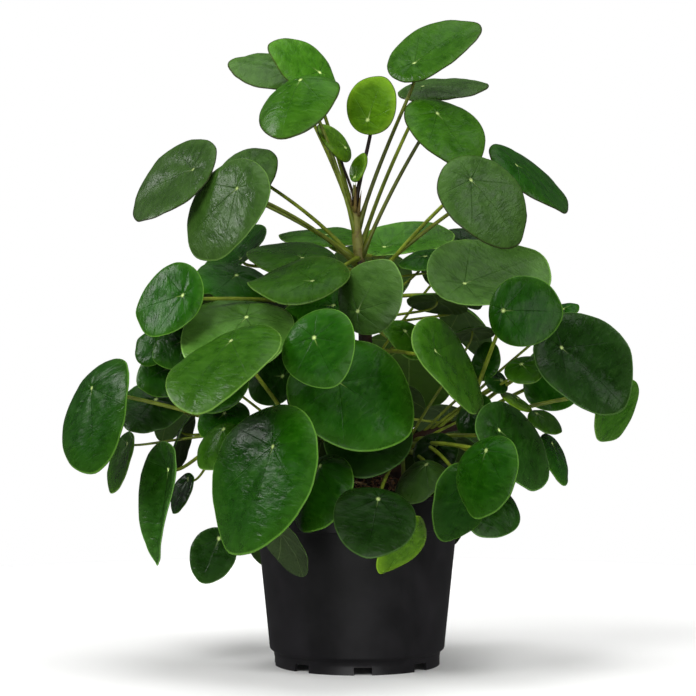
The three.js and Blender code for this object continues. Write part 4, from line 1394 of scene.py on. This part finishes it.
@dataclass
class Shoot:
    """A stem with its stalks and its small leaves, which stand for the stem's solid.

    The stalks look a little slimmer than the solids, and are swollen over the first share of their length.
    """

    name: str
    leaves: list[Leaf]
    young: list[Leaf]
    stem_sides: int = 20
    stem_steps: int = 40
    stalk_sides: int = 12
    stalk_steps: int = 18
    stalk_look: float = 0.92
    foot_swell: float = 0.7
    foot_share: float = 1 / 9
    curve: Curve = field(init=False)

    def __post_init__(self) -> None:
        """Take the stem's centre line."""
        self.curve = Curve(STEM_POINTS[self.name])

    def trunk(self) -> bpy.types.Mesh:
        """Build the stem, with slight swellings along it.

        Returns:
            The stem's mesh.
        """
        steps = self.stem_steps
        line = [self.curve.by_length(i / steps) for i in range(steps + 1)]
        radii = []
        for i in range(steps + 1):
            share = i / steps
            swelling = 1 + 0.05 * math.sin(i * 2.1) + 0.04 * math.sin(i * 0.9 + 1)
            radii.append(self.curve.radius(share) * swelling)
        return Tube(self.stem_sides, {"ripe": 1.0}, 1).mesh(line, radii)

    def stalk(self, leaf: Leaf) -> bpy.types.Mesh:
        """Build a leaf's stalk, from its foot on the stem to the spot behind the blade.

        Args:
            leaf: The leaf that it bears.

        Returns:
            The stalk's mesh.
        """
        pose = leaf.pose
        root = self.curve.by_length(leaf.place)
        outward = (pose.spot - root).normalized()
        # The stalk starts inside the stem, halfway out to its skin
        root = root + outward * 0.5 * self.curve.radius(leaf.place)
        neck = pose.face.copy()
        if pose.spot.z < root.z:
            neck.z -= leaf.climb / CLIMB_TURN
        neck.normalize()
        # It ends further off a blade that it meets askew or whose rim is dished back over it
        askew = math.sqrt(1 - min(neck.dot(pose.face) ** 2, 1)) + 2 * max(-pose.dish, 0) / pose.size
        seat = BLADE_THICK / 2 + CLEAR + SEAT_SPARE + STALK_TIP_RADIUS * askew
        end = pose.spot - pose.face * (0.0 if leaf.young else seat)
        reach = (end - root).length
        # It is a cubic curve from its root to its end, drawn towards two points on the way
        first = root.lerp(end, BEND_SHARE)
        first.z += leaf.climb + CLIMB * reach
        last = end - neck * min(NECK, NECK_SHARE * reach)
        slim = YOUNG_SLIM if leaf.young else 1.0
        line, radii = [], []
        for i in range(self.stalk_steps + 1):
            t = i / self.stalk_steps
            s = 1 - t
            line.append(root * s**3 + first * (3 * s * s * t) + last * (3 * s * t * t) + end * t**3)
            radius = STALK_ROOT_RADIUS + (STALK_TIP_RADIUS - STALK_ROOT_RADIUS) * t
            foot = 1 + self.foot_swell * max(0.0, 1 - t / self.foot_share)
            radii.append(slim * radius * foot * self.stalk_look)
        # The last ring goes into the underside of the blade
        line.append(pose.spot + pose.face * leaf.rise(0.0, 0.0, 0.0, 0.0))
        radii.append(radii[-1] * 0.8)
        ripe = RIPENESS.get(leaf.name, 0.97 + 0.03 * math.sin(leaf.seed))
        return Tube(self.stalk_sides, {"ripe": ripe}, 0).mesh(line, radii)

    def build(self, finishes: dict[str, bpy.types.Material], greens: dict[Age, bpy.types.Material]) -> None:
        """Build the stem's pieces and set them in place of its solid.

        Args:
            finishes: The stalk and trunk materials.
            greens: The leaf materials by age.
        """
        node = f"{self.name}_stem"
        stalks = [self.stalk(leaf) for leaf in self.leaves + self.young]
        wood = gathered(f"{node}_and_stalks", [self.trunk(), *stalks])
        piece = finished(wood.name, wood, (finishes["stalk"], finishes["trunk"]))
        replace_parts(piece, node)
        ages = list(Age)
        small = []
        for leaf in self.young:
            mesh = leaf.blade()
            mesh.polygons.foreach_set("material_index", [ages.index(leaf.age)] * len(mesh.polygons))
            small.append(mesh)
        spray = gathered(f"{node}_small_leaves", small)
        leaves = finished(spray.name, spray, [greens[age] for age in ages])
        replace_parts(leaves, node)
        LOG.info("%s: %d stalks, %d small leaves", node, len(stalks), len(small))


@dataclass
class Crown:
    """The growing tip of the main stem: papery bud scales round the last stalks.

    Each scale is turned a step in radians past the one before, and stands out from the middle of the tip.
    """

    x: float = -1.5
    y: float = 0.0
    z: float = 328.0
    scales: int = 7
    turn: float = 2.4
    out: float = 2.4
    length: float = 27.0
    thick: float = 1.5
    point: float = 0.08
    rings: int = 5
    sides: int = 8

    def build(self, material: bpy.types.Material) -> None:
        """Build the bud scales, each a thin pointed sliver that leans out from the tip.

        Args:
            material: The papery finish.
        """
        meshes = []
        for i in range(self.scales):
            around = self.turn * i
            lean = 1.5 + 0.8 * (i % 3)
            height = self.length * (0.6 + 0.1 * (i % 4))
            foot = Vector((self.x, self.y, self.z + 3 * (i % 4) - 6))
            way = Vector((math.cos(around), math.sin(around), 0.0))
            line, radii = [], []
            for k in range(self.rings + 1):
                t = k / self.rings
                line.append(foot + way * (self.out + lean * t) + Vector((0, 0, height * t)))
                radii.append(self.thick * (1 - t) ** 0.9 + self.point)
            meshes.append(Tube(self.sides, {}, 0).mesh(line, radii))
        whole = gathered("bud_scales", meshes)
        finished(whole.name, whole, (material,))
        LOG.info("crown: %d bud scales", self.scales)


@dataclass
class Pot:
    """The round nursery pot, turned from its section, with notches in its foot ring.

    The rim, the wall, the foot and the pad are given by their radii, and a notch is some of the steps wide.
    """

    height: float = 125.0
    rim: float = 75.0
    band: float = 25.0
    wall_top: float = 72.5
    wall_foot: float = 63.5
    foot: float = 60.0
    foot_height: float = 10.0
    wall: float = 1.8
    floor_z: float = 8.0
    pad: float = 13.0
    notches: int = 8
    notch_height: float = 5.5
    notch_turn: float = 3.0
    notch_steps: int = 5
    steps: int = 144
    sharp_turn: float = 40.0
    drain_holes: int = 8
    drain_radius: float = 4.5
    drain_circle: float = 38.0
    drain_depth: float = 12.0

    def section(self) -> list[tuple[float, float]]:
        """Give the pot's section, from the middle of its base up the outside and back down the inside.

        Returns:
            The section's points as [radius, z], in millimetres.
        """
        band_z = self.height - self.band
        wall_z = self.foot_height + 2
        return [
            (0.0, 0.0),
            (self.pad - 0.8, 0.0),
            (self.pad, 0.8),
            (self.pad, self.floor_z),
            (self.foot - self.wall, self.floor_z),
            (self.foot - self.wall, self.notch_height),
            (self.foot, self.notch_height),
            (self.foot + 0.6, self.foot_height - 0.6),
            (self.foot + 1.2, self.foot_height),
            (self.wall_foot - 0.3, wall_z - 0.4),
            (self.wall_foot, wall_z + 0.4),
            (self.wall_top, band_z - 0.4),
            (self.wall_top + 0.3, band_z + 0.3),
            (self.wall_top + 1.2, band_z + 0.8),
            (self.wall_top + 1.4, band_z + 1.4),
            (self.rim - 0.8, self.height - 3.0),
            (self.rim - 0.1, self.height - 2.4),
            (self.rim, self.height - 1.4),
            (self.rim - 0.2, self.height - 0.3),
            (self.rim - 0.7, self.height),
            (self.rim - self.wall + 0.3, self.height),
            (self.rim - self.wall, self.height - 0.4),
            (self.rim - self.wall - 0.9, band_z + 3),
            (self.wall_top - self.wall, band_z - 1),
            (self.wall_foot - self.wall, wall_z + 2),
            (self.wall_foot - self.wall - 2, self.floor_z + 2),
            (0.0, self.floor_z + 2),
        ]

    def mesh(self) -> bpy.types.Mesh:
        """Turn the section and draw the feet down between the notches.

        Returns:
            The pot's mesh in metres, without its drain holes.
        """
        bm = spun([(r * MM, z * MM) for r, z in self.section()], self.steps, 1e-6)
        feet = []
        for face in bm.faces:
            middle = face.calc_center_median()
            on_ring = abs(middle.z - self.notch_height * MM) < 1e-5
            if on_ring and math.hypot(middle.x, middle.y) > (self.foot - self.wall) * MM:
                if not self.in_notch(math.degrees(math.atan2(middle.y, middle.x))):
                    feet.append(face)
        drawn = bmesh.ops.extrude_face_region(bm, geom=feet)["geom"]
        tips = [item for item in drawn if isinstance(item, bmesh.types.BMVert)]
        bmesh.ops.delete(bm, geom=feet, context="FACES_ONLY")
        bmesh.ops.translate(bm, vec=(0.0, 0.0, -self.notch_height * MM), verts=tips)
        bmesh.ops.recalc_face_normals(bm, faces=bm.faces)
        return mesh_from(bm, "nursery_pot")

    def in_notch(self, bearing: float) -> bool:
        """Say whether a bearing falls in one of the notches.

        Args:
            bearing: The bearing round the pot, in degrees.

        Returns:
            True where there is a notch.
        """
        pitch = 360 / self.notches
        half = self.notch_steps * 360 / self.steps / 2
        away = (bearing + 90 - self.notch_turn + pitch / 2) % pitch - pitch / 2
        return abs(away) < half

    def drains(self) -> bpy.types.Object:
        """Build the plugs that the drain holes are cut with.

        Returns:
            One object with all the plugs.
        """
        bm = bmesh.new()
        for i in range(self.drain_holes):
            angle = (i + 0.5) * 2 * math.pi / self.drain_holes
            way = Vector((math.cos(angle), math.sin(angle), 0.0)) * self.drain_circle * MM
            bmesh.ops.create_cone(
                bm,
                cap_ends=True,
                segments=24,
                radius1=self.drain_radius * MM,
                radius2=self.drain_radius * MM,
                depth=self.drain_depth * MM,
                matrix=Matrix.Translation(way + Vector((0.0, 0.0, self.floor_z * MM))),
            )
        plugs = bpy.data.objects.new("drain_plugs", mesh_from(bm, "drain_plugs"))
        bpy.context.scene.collection.objects.link(plugs)
        return plugs

    def build(self, material: bpy.types.Material) -> None:
        """Build the pot with its drain holes cut, in place of its solid.

        Args:
            material: The plastic.
        """
        piece = finished("nursery_pot", self.mesh(), (material,))
        plugs = self.drains()
        cut = piece.modifiers.new("drain_holes", "BOOLEAN")
        cut.operation = "DIFFERENCE"
        cut.solver = "EXACT"
        cut.object = plugs
        bpy.context.view_layer.update()
        shaped = piece.evaluated_get(bpy.context.evaluated_depsgraph_get())
        mesh = bpy.data.meshes.new_from_object(shaped)
        piece.modifiers.clear()
        piece.data = mesh
        bpy.data.objects.remove(plugs)
        mesh.shade_smooth()
        mesh.set_sharp_from_angle(angle=math.radians(self.sharp_turn))
        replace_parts(piece, "pot")
        LOG.info("pot: %d faces", len(mesh.polygons))


@dataclass
class Soil:
    """The peat: a mound with a rough top and loose crumbs on it.

    Only its upper part shows, so its edge is drawn down no further than the low level.
    """

    edge_z: float = 117.0
    mound: float = 23.0
    out: float = 70.4
    low: float = 60.0
    drawn_in: float = 0.97
    lump: float = 1.1
    rough: float = 0.9
    rings: int = 46
    steps: int = 120
    crumbs: int = 420
    crumb_sizes: tuple[float, float] = (0.7, 2.2)
    seed: int = 7

    def top(self, x: float, y: float) -> float:
        """Give the mound's height at a place on it.

        Args:
            x: The place to the right of the pot's axis, in millimetres.
            y: The place behind it.

        Returns:
            The height of the soil there, in millimetres.
        """
        share = min(math.hypot(x, y) / self.out, 1.0)
        # Small lumps as in the solid, and on them crumbs about 3 mm and 1.5 mm wide
        swell = math.sin(x * 0.23 + 1) * math.cos(y * 0.27) + math.sin(x * 0.41 - y * 0.37)
        coarse = noise.noise(Vector((x / 3.1, y / 3.1, 2.0)))
        fine = noise.noise(Vector((x / 1.4, y / 1.4, 5.0)))
        return (
            self.edge_z
            + self.mound * (1 - share * share)
            + self.lump * swell
            + self.rough * (coarse + 0.6 * fine)
        )

    def mesh(self) -> bpy.types.Mesh:
        """Spin the mound's top and draw its edge down inside the pot.

        Returns:
            The mound's mesh in metres.
        """
        bm = spun([(self.out * i / self.rings, 0.0) for i in range(self.rings + 1)], self.steps, 1e-4)
        for vert in bm.verts:
            vert.co.z = self.top(vert.co.x, vert.co.y)
        rim = [edge for edge in bm.edges if edge.is_boundary]
        drawn = bmesh.ops.extrude_edge_only(bm, edges=rim)["geom"]
        for vert in (item for item in drawn if isinstance(item, bmesh.types.BMVert)):
            vert.co = (vert.co.x * self.drawn_in, vert.co.y * self.drawn_in, self.low)
        bmesh.ops.holes_fill(bm, edges=[edge for edge in bm.edges if edge.is_boundary], sides=0)
        bmesh.ops.recalc_face_normals(bm, faces=bm.faces)
        bmesh.ops.scale(bm, vec=(MM, MM, MM), verts=bm.verts)
        return mesh_from(bm, "peat_mound")

    def loose(self) -> bpy.types.Mesh:
        """Scatter loose crumbs, each a small rough lump, over the mound.

        Returns:
            One mesh in metres with all the crumbs.
        """
        draw = random.Random(self.seed)
        bm = bmesh.new()
        for _ in range(self.crumbs):
            around = draw.uniform(0, 2 * math.pi)
            out = self.out * 0.95 * math.sqrt(draw.random())
            x, y = out * math.cos(around), out * math.sin(around)
            size = draw.uniform(*self.crumb_sizes)
            long, high = draw.uniform(0.8, 1.6), draw.uniform(0.5, 0.9)
            turn, tip = draw.uniform(0, math.pi), draw.uniform(-0.6, 0.6)
            shape = Matrix.Diagonal((size * long, size, size * high, 1.0))
            turned = Matrix.Rotation(turn, 4, "Z") @ Matrix.Rotation(tip, 4, "X")
            place = Matrix.Translation((x, y, self.top(x, y) + size * 0.2))
            made = bmesh.ops.create_icosphere(bm, subdivisions=1, radius=1.0, matrix=place @ turned @ shape)
            for vert in made["verts"]:
                vert.co += Vector([draw.uniform(-0.22, 0.22) * size for _ in range(3)])
        bmesh.ops.scale(bm, vec=(MM, MM, MM), verts=bm.verts)
        return mesh_from(bm, "peat_crumbs")

    def build(self, material: bpy.types.Material) -> None:
        """Build the mound and its crumbs in place of the soil's solid.

        Args:
            material: The peat.
        """
        for mesh in (self.mesh(), self.loose()):
            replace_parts(finished(mesh.name, mesh, (material,)), "soil")
        LOG.info("soil: %d crumbs", self.crumbs)


@dataclass
class BarkChip:
    """A light chip of bark, half sunk in the front of the mound.

    Each break is the way from the chip's middle to a flat side, and how far out that side lies, as a share
    of its half size.
    """

    sizes: tuple[float, float, float] = (12.5, 9.0, 7.5)
    spot: tuple[float, float, float] = (2.0, -36.0, 131.0)
    turn: tuple[float, float, float] = (-0.5, 0.2, 0.35)
    breaks: tuple[tuple[tuple[float, float, float], float], ...] = (
        ((1.0, 0.3, 0.2), 0.78),
        ((-0.8, 0.5, 0.4), 0.8),
        ((0.1, -0.4, 1.0), 0.7),
        ((0.3, -1.0, 0.1), 0.8),
    )
    flattened: float = 0.85

    def build(self, material: bpy.types.Material) -> None:
        """Build the chip, broken flat on some sides, in place of its solid.

        Args:
            material: The bark.
        """
        bm = bmesh.new()
        bmesh.ops.create_icosphere(bm, subdivisions=4, radius=1.0)
        for way, depth in self.breaks:
            normal = Vector(way).normalized()
            for vert in bm.verts:
                past = vert.co.dot(normal) - depth
                if past > 0:
                    vert.co -= normal * past * self.flattened
        for vert in bm.verts:
            vert.co *= 1 + 0.07 * noise.noise(vert.co * 3.1) + 0.03 * noise.noise(vert.co * 9.0)
        shape = Matrix.Diagonal((*[size / 2 for size in self.sizes], 1.0))
        turned = (
            Matrix.Rotation(self.turn[2], 4, "Z")
            @ Matrix.Rotation(self.turn[1], 4, "Y")
            @ Matrix.Rotation(self.turn[0], 4, "X")
        )
        place = Matrix.Scale(MM, 4) @ Matrix.Translation(self.spot) @ turned @ shape
        bmesh.ops.transform(bm, matrix=place, verts=bm.verts)
        mesh = mesh_from(bm, "bark_chip_piece")
        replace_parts(finished(mesh.name, mesh, (material,)), "bark_chip")
        LOG.info("bark chip")


@dataclass
class Studio:
    """A pale floor, a plain pale surround, soft lights and the camera, in metres.

    The lens and its sensor are in millimetres, and the rise is how far the view is shifted up, as a share
    of the picture's width. The surround's light is how bright it is for all but the camera.
    """

    focal: float = 115.1
    sensor: float = 36.0
    rise: float = -0.0211
    floor_radius: float = 0.75
    surround_light: float = 0.07
    lamp_away: float = 3.0

    def build(self) -> None:
        """Set up the floor, the surround, the lights and the camera."""
        self.floor()
        self.surround()
        bpy.context.scene.view_settings.view_transform = "Standard"
        self.lamp("top_light", (0.0, 0.0, 1.0), 50.0, 1.9, Gives.TONE)
        self.lamp("key_light", (-0.4, -0.75, 0.8), 18.0, 1.0, Gives.TONE)
        self.lamp("left_light", (-0.9, -0.45, 0.55), 26.0, 1.3, Gives.TONE)
        self.lamp("right_light", (0.9, -0.4, 0.65), 26.0, 1.1, Gives.TONE)
        self.lamp("front_light", (-0.1, -1.0, 0.35), 100.0, 0.45, Gives.TONE)
        self.lamp("back_light", (0.2, 1.0, 0.4), 90.0, 0.6, Gives.TONE)
        self.lamp("sky_sheen", (0.0, 0.15, 1.0), 56.0, 0.45, Gives.SHEEN)
        self.lamp("left_sheen", (-0.84, 0.21, 0.5), 20.0, 0.6, Gives.SHEEN)
        self.lamp("right_sheen", (1.0, -0.2, 0.8), 26.0, 0.3, Gives.SHEEN)
        self.lamp("front_sheen", (0.0, -1.0, 0.06), 56.0, 1.0, Gives.SHEEN)
        self.camera()

    def floor(self) -> None:
        """Lay the floor, which the plant's gloss doesn't show."""
        bm = bmesh.new()
        bmesh.ops.create_circle(bm, cap_ends=True, segments=96, radius=self.floor_radius)
        mesh = mesh_from(bm, "floor")
        mesh.materials.append(FloorFinish().material())
        floor = bpy.data.objects.new("floor", mesh)
        bpy.context.scene.collection.objects.link(floor)
        floor.visible_glossy = False

    def surround(self) -> None:
        """Surround the plant with white for the camera, and with much dimmer light for the plant."""
        world = bpy.data.worlds.new("white_surround")
        world.use_nodes = True
        tree = world.node_tree
        tree.nodes.clear()
        seen = add_node(tree, "ShaderNodeLightPath").outputs["Is Camera Ray"]
        strength = add_node(tree, RAMP, {0: seen, 3: self.surround_light, 4: 1.0})
        white = {"Color": (1.0, 1.0, 1.0, 1.0), "Strength": strength}
        surround = add_node(tree, "ShaderNodeBackground", white)
        add_node(tree, "ShaderNodeOutputWorld", {"Surface": surround})
        bpy.context.scene.world = world

    def camera(self) -> None:
        """Stand the camera where the plant is sighted from, level and facing the back."""
        camera = bpy.data.cameras.new("camera")
        camera.lens = self.focal
        camera.sensor_width = self.sensor
        camera.shift_y = self.rise
        camera.clip_start = 0.05
        camera.clip_end = 30.0
        stand = bpy.data.objects.new("camera", camera)
        stand.location = (SIGHT_X * MM, -SIGHT_DISTANCE * MM, SIGHT_Z * MM)
        stand.rotation_euler = (math.pi / 2, 0.0, 0.0)
        bpy.context.scene.collection.objects.link(stand)
        bpy.context.scene.camera = stand

    def lamp(
        self, name: str, towards: tuple[float, float, float], spread: float, power: float, gives: Gives
    ) -> None:
        """Shine a broad soft light on the plant from far off.

        Args:
            name: Its name.
            towards: The way from the plant to the light.
            spread: How wide it looks from the plant, in degrees.
            power: Its strength in watts on a square metre.
            gives: Whether it adds diffuse light or gloss.
        """
        light = bpy.data.lights.new(name, "SUN")
        light.angle = math.radians(spread)
        light.energy = power
        lamp = bpy.data.objects.new(name, light)
        lamp.location = Vector(towards) * self.lamp_away
        lamp.visible_diffuse = gives is Gives.TONE
        lamp.visible_glossy = gives is Gives.SHEEN
        lamp.rotation_euler = Vector(towards).to_track_quat("Z", "Y").to_euler()
        bpy.context.scene.collection.objects.link(lamp)


def main() -> None:
    """Build the studio, the pot, the soil and the plant, and note the sizes."""
    logging.basicConfig(level=logging.INFO, format="%(message)s")
    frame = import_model()
    LOG.info("frame: %d nodes", len(frame["nodes"]))
    Studio().build()
    Pot().build(PotFinish().material())
    Soil().build(SoilFinish().material())
    BarkChip().build(BarkChipFinish().material())
    greens = {age: finish.material() for age, finish in LEAF_FINISHES.items()}
    finishes = {"stalk": StalkFinish().material(), "trunk": TrunkFinish().material()}
    leaves = [seen_leaf(row, False) for row in LEAVES]
    leaves += [far_leaf(row, False) for row in BACK_LEAVES]
    young = [seen_leaf(row, True) for row in YOUNG_LEAVES]
    young += [far_leaf(row, True) for row in YOUNG_BACK_LEAVES]
    for name in STEM_POINTS:
        Shoot(
            name,
            [leaf for leaf in leaves if leaf.stem == name],
            [leaf for leaf in young if leaf.stem == name],
        ).build(finishes, greens)
    Crown().build(ScaleFinish().material())
    for leaf in leaves:
        mesh = leaf.blade()
        mesh.name = leaf.name.replace("leaf_", "blade_")
        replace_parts(finished(mesh.name, mesh, (greens[leaf.age],)), leaf.name)
    LOG.info("blades: %d", len(leaves))


if __name__ == "__main__":
    main()
